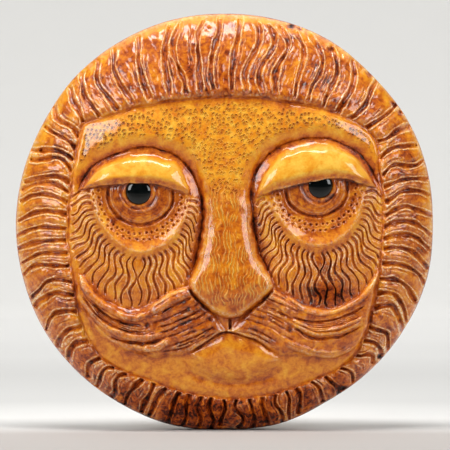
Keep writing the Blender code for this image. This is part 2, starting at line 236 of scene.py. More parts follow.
def nearest_on_path(u: Array, v: Array, path: Array, reach: float) -> tuple[Array, Array, Array]:
    """Find the points within reach of a path.

    Args:
        u: places across.
        v: places up.
        path: the line's points, one a row.
        reach: how far a point may lie from the line's box.

    Returns:
        The points' indices, their distances and their places along it from 0 to 1.
    """
    low = path.min(0) - reach
    high = path.max(0) + reach
    close = np.flatnonzero((u > low[0]) & (u < high[0]) & (v > low[1]) & (v < high[1]))
    run = np.diff(path, axis=0)
    length = np.maximum((run**2).sum(1), 1e-12)
    across = u[close, None] - path[:-1, 0]
    up = v[close, None] - path[:-1, 1]
    t = np.clip((across * run[:, 0] + up * run[:, 1]) / length, 0, 1)
    gap = (across - t * run[:, 0])**2 + (up - t * run[:, 1])**2
    best = gap.argmin(1)
    row = np.arange(len(close))
    return close, np.sqrt(gap[row, best]), (best + t[row, best]) / len(length)


def fading(along: Array, ends: tuple[float, float]) -> Array:
    """Strength of a mark along its line: it eases in and out over a part of each end."""
    return ease(-0.02, ends[0], along) * ease(-0.02, ends[1], 1 - along)


def strokes(u: Array, v: Array, paths: Sequence[Array], width: float,
            ends: tuple[float, float], power: float) -> Array:
    """Marks along paths: (1 - d/width)^power, fading over a part of each end."""
    mark = np.zeros_like(u)
    for path in paths:
        close, gap, along = nearest_on_path(u, v, path, width)
        value = np.clip(1 - gap / width, 0, 1)**power * fading(along, ends)
        mark[close] = np.maximum(mark[close], value)
    return mark


def inside_outline(u: Array, v: Array, outline: Array, reach: float) -> Array:
    """Distance to a closed outline, positive within it and -reach far from it."""
    closed = np.vstack([outline, outline[:1]])
    close, gap, _ = nearest_on_path(u, v, closed, reach)
    x0, y0 = closed[:-1].T
    x1, y1 = closed[1:].T
    level = v[close, None]
    crosses = (y0 > level) != (y1 > level)
    rise = np.where(np.abs(y1 - y0) < 1e-9, 1e-9, y1 - y0)
    meets = x0 + (level - y0) * (x1 - x0) / rise
    within = (crosses & (u[close, None] < meets)).sum(1) % 2 == 1
    distance = np.full_like(u, -reach)
    distance[close] = np.where(within, gap, -gap)
    return distance


@dataclass(frozen=True)
class Gouge:
    """One tool's cut: soft shoulders, a trough along the middle and a burr on each side.

    Attributes:
        shoulder: half width of the shoulders, in shares.
        fall: how deep the shoulders fall.
        trough: half width of the trough.
        bite: how deep the trough bites.
        burr: height of the clay pushed up beside it.
        ends: parts of its length over which a cut fades in and out.
        uneven: how much its width changes from place to place.
    """
    shoulder: float
    fall: float
    trough: float
    bite: float
    burr: float
    ends: tuple[float, float]
    uneven: float = 0.25

    def profile(self, gap: Array) -> Array:
        """Height at a distance g from the cut's line: burr less shoulders less trough.

        A shoulder is half the round side of a tube, 1 - sqrt(1 - (1 - g)^2), and half a
        slope (1 - g)^1.3.
        """
        left = 1 - np.clip(gap / self.shoulder, 0, 1)
        soft = 0.5 * (1 - np.sqrt(1 - left**2)) + 0.5 * left**1.3
        sharp = 1 - ease(0.45 * self.trough, 1.25 * self.trough, gap)
        ridge = crest(gap - 1.65 * self.trough, 0.42 * self.trough)
        return self.burr * ridge - self.fall * soft - self.bite * sharp

    def cut(self, u: Array, v: Array, paths: Sequence[Array]) -> Array:
        """Heights of cuts along the paths, each point by the line nearest to it."""
        reach = max(self.shoulder, 3 * self.trough)
        least = np.full_like(u, reach)
        strength = np.zeros_like(u)
        for path in paths:
            close, gap, along = nearest_on_path(u, v, path, reach)
            nearer = gap < least[close]
            least[close[nearer]] = gap[nearer]
            strength[close[nearer]] = fading(along, self.ends)[nearer]
        return self.profile(least / (1 + self.uneven * lumps(u, v, 5.0, 61))) * strength


# The carving

@dataclass(frozen=True)
class Outline:
    """The rim's hand-cut unevenness: angle in degrees from +X, part of the full radius kept."""
    knots: Points = (
        (0, 0.980), (15, 0.987), (30, 0.991), (45, 0.987), (60, 0.998), (75, 0.998), (90, 0.996),
        (105, 1.0), (120, 0.999), (135, 0.998), (150, 0.989), (165, 0.991), (180, 0.995),
        (195, 0.995), (210, 0.997), (225, 0.992), (240, 0.986), (255, 0.985), (270, 0.972),
        (285, 0.978), (300, 0.966), (315, 0.973), (330, 0.980), (345, 0.986),
    )
    still: float = 62.0

    def pull(self, u: Array, v: Array) -> Array:
        """How much nearer the centre a place lies: nothing inside the mane, all at the rim."""
        angle = bearing(u, v) % 360
        kept = np.minimum(round_the_disc(self.knots, 1, angle), 1.0)
        return 1 - (1 - kept) * ease(self.still, 100, np.hypot(u, v))

    def undone(self, u: Array, v: Array) -> tuple[Array, Array]:
        """Where pulled places lay before, by dividing by the pull until it settles."""
        before_u, before_v = u, v
        for _ in range(5):
            pull = self.pull(before_u, before_v)
            before_u, before_v = u / pull, v / pull
        return before_u, before_v


@dataclass(frozen=True)
class Disc:
    """The plain disc: its sizes in metres, and how it swells from rim to crown."""
    diameter: float = 0.300
    rim_height: float = 0.010
    crown_height: float = 0.048
    centre_drop: float = 0.072
    swell_power: float = 2.6

    @property
    def share(self) -> float:
        """One share, a hundredth of the radius, in metres."""
        return self.diameter / 200

    def swell(self, radius: Array) -> Array:
        """Height over the back: rim + (crown - rim) * sqrt(1 - r^power), in shares."""
        rim = self.rim_height / self.share
        crown = self.crown_height / self.share
        part = np.clip(radius / 100, 0, 1)**self.swell_power
        return rim + (crown - rim) * np.sqrt(np.clip(1 - part, 0, 1))


@dataclass(frozen=True)
class FaceEdge:
    """Edge of the sunk face inside the mane: angle in degrees from +X, radius in shares."""
    knots: Points = (
        (-159, 76.6), (-135, 86.0), (-113, 81.8), (-90, 83.0), (-64, 85.0), (-47, 88.5),
        (-35, 82.4), (-18, 75.8), (8, 74.6), (21, 77.6), (30, 80.8), (38, 77.5), (48, 70.8),
        (62, 64.3), (90, 59.0), (120, 64.9), (139, 76.3), (145, 81.8), (151, 79.5),
        (163, 75.6), (180, 74.3),
    )

    def radius(self, angle: Array) -> Array:
        """Distance of the edge from the disc's centre at an angle."""
        return round_the_disc(self.knots, 1, angle)

    def depth(self, u: Array, v: Array) -> Array:
        """Distance in from the edge, negative out in the mane: radial gap over its slant."""
        angle = bearing(u, v)
        edge = self.radius(angle)
        slope = (self.radius(angle + 1) - self.radius(angle - 1)) / math.radians(2) / edge
        return (edge - np.hypot(u, v)) / np.sqrt(1 + slope**2)


@dataclass(frozen=True)
class Mane:
    """Roll of hair round the face, cut into S-shaped locks.

    Attributes:
        flow: how the grooves run, in degrees: where one leaves the face, the step to
            the next, how far its outer end leans, how far its middle bows, its wave.
        end: where the grooves stop short of the rim, in shares.
        rise: how far the roll rises over the disc beside the face.
        sinking: how far the face sinks inside it.
        fall: distance over which both fall off.
        edge_cut: depth of the cut between them.
        lip: height of the lip inside the cut, at the face's sides.
        seed: fixes the locks' unevenness.
        gouge: the tool that cut the locks.
        liner: the finer tool that lined them.
        roll: the rounding of the locks at the sides and below.
    """
    flow: Sequence[tuple[float, ...]] = (
        (-170, 4.6, 0.3, -1.6, 0.3), (-150, 5.6, 0.8, -2.4, 0.2), (-135, 5.6, 0.8, -2.0, 0.3),
        (-118, 4.4, -0.5, -0.8, 0.4), (-90, 3.8, 0.0, 0.3, 0.3), (-66, 4.4, -0.8, 0.6, 0.5),
        (-48, 5.4, 0.5, 2.0, 0.3), (-30, 4.8, -2.0, 3.2, 0.0), (-10, 4.6, -3.2, 2.6, 0.0),
        (12, 4.9, 0.3, 2.1, -0.4), (28, 5.6, -0.5, 1.0, 0.3), (37, 5.0, 2.0, -0.6, 0.4),
        (48, 5.6, 8.0, -2.0, -0.6), (58, 6.0, 9.9, -2.2, -1.2), (65, 6.6, 8.5, -1.6, -1.6),
        (73, 7.2, 4.5, -0.6, -2.4), (80, 7.0, 0.6, 0.2, -2.0), (86, 6.8, -0.8, 0.2, -1.0),
        (92, 6.8, -3.3, 1.1, -0.2), (99, 6.2, -4.8, 1.2, 0.2), (104, 6.0, -4.0, 2.6, 0.8),
        (113, 6.6, -7.4, 0.4, 0.0), (120, 6.2, -6.5, 0.8, 0.0), (135, 5.6, -6.8, 1.6, 0.8),
        (146, 4.6, -5.5, 1.0, 0.5), (156, 4.2, 0.5, -1.4, 0.4),
        (172, 4.2, 2.2, -2.0, 0.2),
    )
    end: float = 99.6
    rise: float = 2.2
    sinking: float = 1.7
    fall: float = 10.0
    edge_cut: float = 0.9
    lip: float = 0.4
    seed: int = 7
    gouge: Gouge = Gouge(3.8, 1.45, 0.9, 0.25, 0.7, (0.03, 0.05), 0.45)
    liner: Gouge = Gouge(1.4, 0.3, 0.5, 0.25, 0.35, (0.15, 0.3), 0.4)
    roll: Gouge = Gouge(3.8, 1.35, 0.6, 0.0, 0.0, (0.02, 0.02), 0.2)

    def grooves(self, face: FaceEdge) -> list[Array]:
        """S-shaped lines from the face's edge to the rim, one after another.

        A line's angle is its start, plus its lean along it, plus half a sine wave of
        bow, less a whole sine wave.
        """
        draw = np.random.default_rng(self.seed)
        along = np.linspace(0, 1, 22)
        paths = []
        angle = -178.0
        while angle < 178:
            at = np.array([angle])
            step, lean, bow, wave = (round_the_disc(self.flow, k, at)[0] for k in range(1, 5))
            crown = float(ease(0.6, 0.9, np.sin(np.radians(at)))[0])
            inner = face.radius(at)[0] + 0.4 + 2.4 * crown
            outer = self.end - 2 * crown + draw.uniform(-1.5, 0.5)
            jitter = (1.7 - 0.7 * crown) * draw.normal(0, 1, 3)
            turn = angle + (lean + 0.5 * jitter[0]) * along
            turn = turn + (bow + 0.35 * jitter[1]) * np.sin(math.pi * along)
            turn = turn - (wave + 0.25 * jitter[2]) * np.sin(2 * math.pi * along)
            reach = inner + (outer - inner) * along
            turn = np.radians(turn)
            paths.append(np.stack([reach * np.cos(turn), reach * np.sin(turn)], 1))
            angle += step * (1 + 0.2 * draw.uniform(-1, 1))
        return paths

    def scratches(self, paths: Sequence[Array]) -> list[Array]:
        """Shorter lines on the locks, each at an uneven part of the way to the next groove."""
        draw = np.random.default_rng(self.seed + 1)
        found = []
        for here, there in zip(paths, paths[1:]):
            part = draw.choice((0.28, 0.34, 0.5, 0.68, 0.74))
            first = draw.integers(0, 9)
            last = first + draw.integers(7, 14)
            found.append((here * (1 - part) + there * part)[first:last])
        return found

    def relief(self, u: Array, v: Array, depth: Array, face: FaceEdge) -> Array:
        """Raised roll round the sunk face, cut into locks.

        The roll falls off outward and the face's sinking inward, both as exp(-d/fall),
        with a V-shaped cut between them and a lip inside it.
        """
        out = np.clip(-depth, 0, None)
        height = np.where(depth < 0, self.rise * np.exp(-out / self.fall) * ease(0, 4.5, out), 0)
        sunk = self.sinking * np.exp(-np.clip(depth, 0, None) / self.fall)
        height -= ease(-0.6, 0.6, depth) * sunk
        height -= self.edge_cut * np.clip(1 - np.abs(depth + 0.3) / 1.1, 0, 1)**1.2
        height += self.lip * crest(depth - 1.8, 1.0) * ease(55, 40, v) * ease(-80, -60, v)
        paths = self.grooves(face)
        hair = ease(0.0, 1.0, out)
        height += hair * self.gouge.cut(u, v, paths)
        beside = ease(0.85, 0.55, v / np.maximum(np.hypot(u, v), 1))
        height += hair * beside * self.roll.cut(u, v, paths)
        height += hair * self.liner.cut(u, v, self.scratches(paths))
        combed = lumps(bearing(u, v) * 1.5, np.hypot(u, v) / 4, 1.0, self.seed + 2)
        height += hair * (0.2 * combed + 0.4 * lumps(u, v, 4.2, self.seed + 3))
        height += hair * 0.14 * lumps(u, v, 1.7, self.seed + 4)
        return height


@dataclass(frozen=True)
class Nose:
    """Long ridge that widens to a blunt tip, with wavy hair combed down its front."""
    lift: Points = ((-48, 6.0), (-38, 6.6), (-30, 6.6), (-10, 5.0), (10, 3.2), (30, 1.4), (50, 0.0))
    edge: Points = (
        (-22, 50), (-15, 32), (-12, 18), (-10.5, 4.5), (-11.5, -4.5), (-13, -12.5), (-14.5, -20),
        (-17.5, -27), (-16.5, -32), (-12, -37), (-6, -42), (0.5, -44.5), (6.5, -43.5),
        (11.5, -40), (17.5, -35), (22, -30.5), (21, -25.5), (16.5, -16), (14, -6),
        (12.5, 5.5), (12, 11.5), (13.5, 22), (17, 34), (24, 50),
    )
    shoulders: Points = ((0.62, 3.0), (0.38, 13.0))
    lip: float = 0.3

    def distance(self, u: Array, v: Array) -> Array:
        """Distance into the nose from the foot of its sides."""
        return inside_outline(u, v, smooth_path(self.edge, 90), 14)

    def relief(self, u: Array, v: Array, distance: Array) -> Array:
        """A narrow and a wide shoulder, with a lip on the first, lifted more towards the tip."""
        levels, lifts = zip(*self.lift)
        lift = through(levels, lifts, v)
        lip = self.lip * crest(distance - 3.2, 1.3) * ease(-44, -30, v) * ease(36, 14, v)
        return lift * sum(part * pillow(distance, wide) for part, wide in self.shoulders) + lip

    def combed(self, u: Array, v: Array, distance: Array) -> Array:
        """How strongly the nose's front is combed with short upright strokes, from 0 to 1."""
        return ease(1.6, 3.6, distance) * ease(24, 8, v) * ease(-43, -36, v)


@dataclass(frozen=True)
class Eye:
    """Heavy-lidded eye in its socket, with the bag and the cheek's hair under it.

    Attributes:
        side: 1 for the eye on the left of the picture, -1 for the other.
        lid_low: the lid's lower edge.
        lid_top: the lid's upper edge.
        crease: the fold over the lid, which runs on down beside the nose.
        ball: the ball's centre and radius.
        pupil: the pupil's centre.
        bag: the ring of the bag under the eye.
        hair: the reach of the cheek's hair.
        hairs: how many there are.
        crease_depth: depth of the crease.
        bowl_depth: depth of the bowl that the ball lies in.
        ball_rise: how far the ball stands out of it.
        bag_rise: height of the bag's ring.
        cheek_rise: height of the cheek under it.
        ring_depth: depth of the line round the ball.
        dot_depth: depth of the dots under it.
        lid_rise: how far the lid stands over the plain disc.
    """
    side: int
    lid_low: Points
    lid_top: Points
    crease: Points
    ball: tuple[float, float, float]
    pupil: tuple[float, float]
    bag: Points
    hair: Points
    hairs: int = 31
    crease_depth: float = 2.7
    bowl_depth: float = 3.0
    ball_rise: float = 3.6
    bag_rise: float = 1.7
    cheek_rise: float = 1.6
    ring_depth: float = 0.95
    dot_depth: float = 0.95
    lid_rise: float = 5.0
    hair_gouge: Gouge = Gouge(2.1, 1.25, 0.5, 0.15, 0.45, (0.03, 0.08), 0.5)
    fold_gouge: Gouge = Gouge(2.0, 0.3, 0.45, 0.35, 0.15, (0.08, 0.1))
    dots: Pecks = Pecks((2.9, 2.7), (0.85, 0.8), 0.12, 0.0, 17)

    def fold(self) -> list[Array]:
        """The crease as one smooth line."""
        return [smooth_path(self.crease, 60)]

    def over_edge(self, u: Array, v: Array) -> Array:
        """Distance up from the lid's lower edge."""
        return v - through(*zip(*self.lid_low), u)

    def off_ball(self, u: Array, v: Array) -> Array:
        """Distance out from the ball, which is a little lower than it is wide."""
        across, up, ball = self.ball
        return np.hypot(u - across, (v - up) * 1.04) - ball

    def socket(self, u: Array, v: Array) -> Array:
        """Crease, bowl, ball and bag's ring: strokes, mounds and a half sphere added up."""
        across, up, ball = self.ball
        height = -self.crease_depth * strokes(u, v, self.fold(), 6.5, (0.1, 0.08), 1.4)
        height -= self.bowl_depth * mound(np.hypot(u - across, v - up + 2) / 25)
        dome = np.sqrt(np.clip(1 - (np.hypot(u - across, (v - up) * 1.1) / ball)**2, 0, 1))
        height += self.ball_rise * dome
        height += self.bag_rise * strokes(u, v, [smooth_path(self.bag, 50)], 4.2, (0.1, 0.1), 1.2)
        height += self.cheek_rise * mound(np.hypot((u - across) / 32, (v + 22) / 20))
        return height

    def rings(self, u: Array, v: Array) -> Array:
        """Lines cut round the ball and the iris, and the lip of clay round each.

        Each is a crest of the distance from the ball's or the pupil's centre.
        """
        out = self.off_ball(u, v)
        iris = np.hypot(u - self.pupil[0], v - self.pupil[1])
        beside = 0.4 + 0.6 * np.clip(np.abs(u - self.ball[0]) / self.ball[2], 0, 1)**2
        height = 0.3 * crest(out - 1.2, 0.7) - self.ring_depth * beside * crest(out + 0.3, 0.75)
        for inward, bite in ((1.9, 0.18), (3.2, 0.22), (4.6, 0.2), (5.9, 0.16)):
            height -= bite * crest(out + inward, 0.35)
        height += 0.25 * crest(iris - 6.9, 0.5) - 0.5 * crest(iris - 8.1, 0.5)
        return height + 0.25 * crest(iris - 9.3, 0.5)

    def stipple(self, u: Array, v: Array) -> Array:
        """Rows of dots in the band between the ball and the bag's ring.

        The dots' lattice runs round the ball: arc length one way, distance out the other.
        """
        across, up, ball = self.ball
        out = self.off_ball(u, v)
        arc = np.arctan2(u - across, up - v) * (ball + 4)
        band = ease(1.8, 2.6, out) * ease(7.6, 6.8, out)
        return self.dot_depth * band * self.dots.height(arc, out)

    def lid(self, u: Array, v: Array) -> tuple[Array, Array]:
        """Heavy lid, rolled over the ball.

        Returns:
            How far it covers each point, and its height over the plain disc.
        """
        low_u, low_v = zip(*self.lid_low)
        top_u, top_v = zip(*self.lid_top)
        low = through(low_u, low_v, u)
        top = through(top_u, top_v, u)
        part = (v - low) / np.clip(top - low, 0.5, None)
        ends = np.clip(np.minimum(u - low_u[0], low_u[-1] - u) / 10, 0, 1)**0.6
        turned_under = 0.62 + 0.38 * ease(0, 0.3, part)
        rounded = np.clip(1 - (np.clip(part - 0.25, 0, None) / 0.85)**2, 0, 1)
        where = (u > low_u[0]) & (u < low_u[-1]) & (part < 1.1)
        cover = np.where(where, ease(-0.3, 0.3, v - low) * ease(1.1, 0.8, part), 0)
        return cover, self.lid_rise * turned_under * rounded * ends - 0.3

    def cheek_hairs(self) -> list[Array]:
        """Wavy hairs from the bag's ring out over the cheek.

        Each is a straight run with a sine wave of about 14 shares, mirrored about the
        middle, that swings less and less on its way out.
        """
        draw = np.random.default_rng(12 + self.side)
        inner = smooth_path(self.bag, self.hairs)
        outer = smooth_path(self.hair, self.hairs)
        along = np.linspace(0.11, 1, 26)[:, None]
        found = []
        for place, (start, end) in enumerate(zip(inner, outer)):
            run = end - start
            length = np.hypot(*run)
            across = np.array([-run[1], run[0]]) / length
            mirror = self.side if place < self.hairs / 2 else -self.side
            wave = 2 * math.pi * length * (along - 0.1) / draw.uniform(12.5, 15.5)
            swing = draw.uniform(1.0, 1.5) * (1.35 - 0.7 * along)
            found.append(start + run * along - mirror * swing * across * np.sin(wave))
        return found

    def fine_marks(self, u: Array, v: Array) -> Array:
        """The narrow line in the crease and the cheek's hairs."""
        height = self.fold_gouge.cut(u, v, self.fold())
        return height + self.hair_gouge.cut(u, v, self.cheek_hairs())


@dataclass(frozen=True)
class Ridge:
    """A rounded roll of clay along a path: its half width and height, in shares."""
    path: Points
    half: float
    height: float


@dataclass(frozen=True)
class Wing:
    """One half of the moustache, from the nose out to its tip.

    Attributes:
        top: the upper edge.
        low: the lower edge.
        knot: how far along it the muzzle's hair gathers before the tail.
        ridges: the rolls of hair that stand up from it.
        cuts: the grooves between them.
        hatched: the band of fine lines, as parts of the way from upper to lower edge.
        pit: the small hole where the hair gathers.
        seed: fixes the muzzle's unevenness.
        rise: how far it stands over the face.
        pit_depth: depth of the small hole.
    """
    top: Points
    low: Points
    knot: float
    ridges: tuple[Ridge, ...]
    cuts: tuple[Points, ...]
    hatched: tuple[float, float]
    pit: tuple[float, float]
    seed: int
    rise: float = 3.0
    pit_depth: float = 1.6
    tail_gouge: Gouge = Gouge(2.2, 1.2, 0.55, 0.5, 0.2, (0.1, 0.12), 0.4)
    muzzle_gouge: Gouge = Gouge(1.6, 1.2, 0.45, 0.3, 0.2, (0.06, 0.14), 0.45)
    hatch: Gouge = Gouge(0.9, 0.3, 0.35, 0.2, 0.2, (0.1, 0.1), 0.4)

    def edges(self) -> tuple[Array, Array]:
        """The upper and the lower edge at 40 even steps."""
        return smooth_path(self.top, 40), smooth_path(self.low, 40)

    def distance(self, u: Array, v: Array) -> Array:
        """Distance in from the edges."""
        top, low = self.edges()
        return inside_outline(u, v, np.vstack([top, low[::-1]]), 4)

    def strands(self, parts: Sequence[float], first: float, last: float) -> list[Array]:
        """Lines at the given parts of the way down, over a stretch of its length."""
        top, low = self.edges()
        rows = slice(int(first * 40), int(last * 40))
        return [(top * (1 - part) + low * part)[rows] for part in parts]

    def relief(self, u: Array, v: Array) -> Array:
        """Raised pillow of hair, cut into strands over the muzzle and bands in the tail."""
        distance = self.distance(u, v)
        body = pillow(distance + 0.8, 5)
        draw = np.random.default_rng(self.seed)
        muzzle = []
        for part in np.linspace(0.07, 0.93, 8) + draw.uniform(-0.035, 0.035, 8):
            first = draw.uniform(0.0, 0.08)
            muzzle += self.strands([part], first, self.knot + draw.uniform(-0.03, 0.07))
        for part in draw.uniform(0.1, 0.9, 5):
            first = draw.uniform(0.04, 0.16)
            muzzle += self.strands([part], first, first + draw.uniform(0.1, 0.16))
        fine = self.strands(np.linspace(*self.hatched, 4), self.knot + 0.02, 0.85)
        patchy = np.clip(0.75 + 0.5 * lumps(u, v, 3.2, self.seed), 0, 1.1)
        cuts = patchy * self.muzzle_gouge.cut(u, v, muzzle) + self.hatch.cut(u, v, fine)
        cuts += self.tail_gouge.cut(u, v, [smooth_path(path, 30) for path in self.cuts])
        hole = mound(np.hypot(u - self.pit[0], v - self.pit[1]) / 2.2)
        rolls = np.zeros_like(u)
        for ridge in self.ridges:
            roll = strokes(u, v, [smooth_path(ridge.path, 30)], ridge.half, (0.12, 0.12), 1.0)
            rolls += ridge.height * np.sqrt(np.clip(1 - (1 - roll)**2, 0, 1))
        lumpy = 0.3 * lumps(u, v, 2.6, self.seed + 1) * ease(0, 2, distance)
        return body * (self.rise + cuts - self.pit_depth * hole + lumpy) + ease(-1.5, 0, distance) * rolls


@dataclass(frozen=True)
class Mouth:
    """Closed mouth: full lower lip, the line over it and the fold under it."""
    lip: Points = (
        (-17, -60.5), (-8.5, -56.5), (-0.5, -52.5), (9.5, -54.5), (20, -59), (26, -63),
        (21, -68), (4.5, -72.5), (-10, -69.5), (-17, -60.5),
    )
    fold: Points = ((-22, -67), (-10, -73), (4.5, -75.5), (18, -73), (28, -68))
    line: Points = (
        (-18, -60.5), (-12.5, -57.5), (-8, -54), (-2, -51), (4.5, -51), (12.5, -54), (22, -59.5),
    )
    cleft: Points = ((1.6, -44.5), (1.8, -49.5))
    lip_rise: float = 2.3
    fold_depth: float = 1.5
    line_gouge: Gouge = Gouge(2.0, 0.7, 0.6, 1.2, 0.15, (0.12, 0.12))

    def relief(self, u: Array, v: Array) -> Array:
        """Pillow of the lip less the strokes of the fold and of the mouth's line."""
        distance = inside_outline(u, v, smooth_path(self.lip, 60), 4)
        fold = strokes(u, v, [smooth_path(self.fold, 30)], 4, (0.15, 0.15), 1.3)
        line = self.line_gouge.cut(u, v, [smooth_path(self.line, 30), smooth_path(self.cleft, 6)])
        return self.lip_rise * pillow(distance + 0.5, 7) - self.fold_depth * fold + line


@dataclass(frozen=True)
class Brow:
    """Forehead: two swells over the eyes, pecked all over with a pointed tool."""
    swells: Points = ((-41, 42), (42, 46))
    rise: float = 1.8
    wide: float = 34.0
    high: float = 16.0

    def swell(self, u: Array, v: Array) -> Array:
        """A mound over each eye."""
        return self.rise * sum(
            mound(np.hypot((u - a) / self.wide, (v - b) / self.high)) for a, b in self.swells)

    def pecked(self, u: Array, v: Array, depth: Array) -> Array:
        """How strongly the forehead is pecked, from 0 to 1: more at its two ends."""
        where = ease(2.0, 3.6, depth) * ease(6, 16, v)
        return where * (0.55 + 0.2 * lumps(u, v, 9, 23) + 0.5 * ease(15, 55, np.abs(u)))


@dataclass(frozen=True)
class Rim:
    """Smooth worn band round the mane, with chips in it: each one's place and its size."""
    chips: Sequence[Place] = (
        (31, 93.5, 1.6), (34.5, 92, 1.2), (49.5, 82.5, 1.4), (68.5, 71.5, 1.5),
        (80, 57, 1.7), (83, 53, 1.3), (-88, 35, 1.0), (57, -80, 1.2), (74, -64, 1.1),
    )
    chip_depth: float = 1.5

    def relief(self, u: Array, v: Array) -> Array:
        """Mounds of clay missing at the chips, drawn out along the rim."""
        height = np.zeros_like(u)
        for across, up, size in self.chips:
            far = math.hypot(across, up)
            out = (u * across + v * up) / far - far
            along = (v * across - u * up) / far
            height -= self.chip_depth * mound(np.hypot(out / size, along / (1.8 * size)))
        return height


LEFT_EYE = Eye(
    side=1,
    lid_low=((-67, 16), (-55, 18), (-41, 19), (-29, 17.5), (-16.5, 13.5)),
    lid_top=((-67, 16.5), (-64, 21), (-58, 27), (-50.5, 30.5), (-39.5, 32), (-29, 30),
             (-20.5, 25), (-16.5, 15)),
    crease=((-70, 12), (-68, 19), (-63.5, 26), (-53, 32.5), (-39.5, 35.5), (-25.5, 33),
            (-16.5, 25), (-12, 14.5), (-10.5, 4.5), (-11.5, -4.5), (-13, -12.5), (-15, -20),
            (-18, -27)),
    ball=(-40.0, 14.0, 15.5),
    pupil=(-40.5, 15.0),
    bag=((-63, 15), (-60, 4), (-53, -6), (-40.5, -12.5), (-27, -8), (-20, 2), (-17.5, 11)),
    hair=((-73, 13), (-73, 0), (-71.5, -14), (-67, -24), (-57, -33), (-46, -39), (-35, -37),
          (-25, -32), (-18, -25), (-15, -12), (-13, 0), (-13.5, 9)),
)
RIGHT_EYE = Eye(
    side=-1,
    lid_low=((14, 12), (24, 16), (35.5, 19), (48, 21), (57.5, 20.5), (70, 17)),
    lid_top=((14, 13.5), (16.5, 20), (21.5, 28.5), (31, 35), (43.5, 37.5), (55, 35),
             (65, 26.5), (70, 17.5)),
    crease=((73, 14), (70.5, 22), (65, 30.5), (55, 37.5), (42.5, 40.5), (28.5, 37.5),
            (16.5, 28.5), (12, 18.5), (11.5, 11.5), (12.5, 2), (14, -6), (17, -16),
            (22.5, -27)),
    ball=(42.0, 17.0, 14.5),
    pupil=(43.5, 18.0),
    bag=((64, 15), (62, 5), (57, -3), (48, -9), (38, -9), (28.5, -2), (22, 8), (18.5, 12)),
    hair=((73.5, 13), (73.5, 0), (72, -14), (70, -24), (62, -33), (51, -39.5), (40.5, -38.5),
          (31, -34), (23, -29), (18, -18), (15, -6), (14.5, 8)),
)
LEFT_WING = Wing(
    top=((-16, -29), (-26.5, -33), (-34, -37.5), (-41, -40), (-49.5, -39), (-60, -33),
         (-68.5, -24.5)),
    low=((-0.5, -50.5), (-8.5, -55), (-17, -59.5), (-26.5, -61.5), (-32.5, -62), (-43, -60.5),
         (-53, -55), (-63.5, -45.5), (-70.5, -34)),
    knot=0.4,
    ridges=(
        Ridge(((-68.3, -24.9), (-64.2, -32), (-54, -39.2), (-43.3, -43.6), (-36.2, -42.4)), 1.9, 1.4),
        Ridge(((-67.1, -35.3), (-60, -44.8), (-51, -50.5), (-41, -53.4), (-30.2, -51.5)), 1.8, 1.4),
        Ridge(((-64.1, -46.9), (-54, -54.7), (-45.1, -57.8), (-36.6, -59)), 1.8, 1.0),
        Ridge(((-33.8, -42.1), (-30.2, -36.8), (-24.3, -33.8), (-18.3, -31.2)), 3.2, 1.4),
        Ridge(((-39, -57.8), (-33.2, -57.4), (-27.4, -54.9)), 2.0, 1.8),
    ),
    cuts=(
        ((-66, -25.5), (-60, -32.4), (-51, -37.6), (-43, -40.4)),
        ((-63, -37.4), (-55.2, -42.8), (-46.9, -46.3), (-38.6, -47.4)),
        ((-67.7, -33.2), (-61.2, -42), (-54, -47.3), (-46.3, -50), (-37.6, -50.4)),
        ((-65.3, -45.7), (-58.2, -51.3), (-48.1, -54.9), (-38.6, -56), (-29.5, -53.6)),
    ),
    hatched=(0.36, 0.52),
    pit=(-36.5, -47.5),
    seed=71,
)
RIGHT_WING = Wing(
    top=((21, -30), (30.5, -35), (40.5, -39.5), (51, -40.5), (61, -35), (68.5, -27.5),
         (71.5, -23)),
    low=((1, -50.5), (9.5, -52.5), (20, -57.5), (25.5, -60.5), (32, -61), (40.5, -62.5),
         (50, -63), (61, -58.5), (68.5, -49)),
    knot=0.34,
    ridges=(
        Ridge(((29, -33.8), (35.7, -38.6), (42, -40.8), (51, -40.2), (59, -37), (66.7, -30.6),
               (71, -25.2)), 1.7, 1.3),
        Ridge(((30, -43.8), (35.7, -47.2), (43.3, -49.2), (51.1, -49.2), (58, -47), (64, -44)), 0.9, 1.1),
        Ridge(((29, -45.4), (35.7, -49.2), (43.3, -51.2), (51.1, -51.2), (58, -49), (64, -46)), 0.9, 1.1),
        Ridge(((28, -53.8), (35.7, -57.4), (43.3, -60), (51.1, -60.6), (58, -59)), 0.9, 1.0),
        Ridge(((28, -55.6), (35.7, -59.4), (43.3, -62), (51.1, -62.4), (56.2, -61.4),
               (61.4, -58.8)), 1.3, 1.2),
        Ridge(((19, -31.5), (25, -35.5), (29.5, -40)), 2.8, 1.2),
    ),
    cuts=(
        ((30, -43.2), (35.7, -44.8), (43.3, -45.6), (51, -44.9), (59, -42), (65.5, -37.5)),
        ((31, -47.9), (37, -51.8), (44, -53.5), (52, -53.4), (58, -51.2), (65, -47.5)),
    ),
    hatched=(0.28, 0.4),
    pit=(29.5, -48.5),
    seed=83,
)


@dataclass(frozen=True)
class Patch:
    """A mound of tone on the glaze: darker, or paler where its tone is below 0, in shares."""
    across: float
    up: float
    wide: float
    high: float
    tone: float

    def over(self, u: Array, v: Array) -> Array:
        """The tone that it adds at each place."""
        return self.tone * mound(np.hypot((u - self.across) / self.wide, (v - self.up) / self.high))


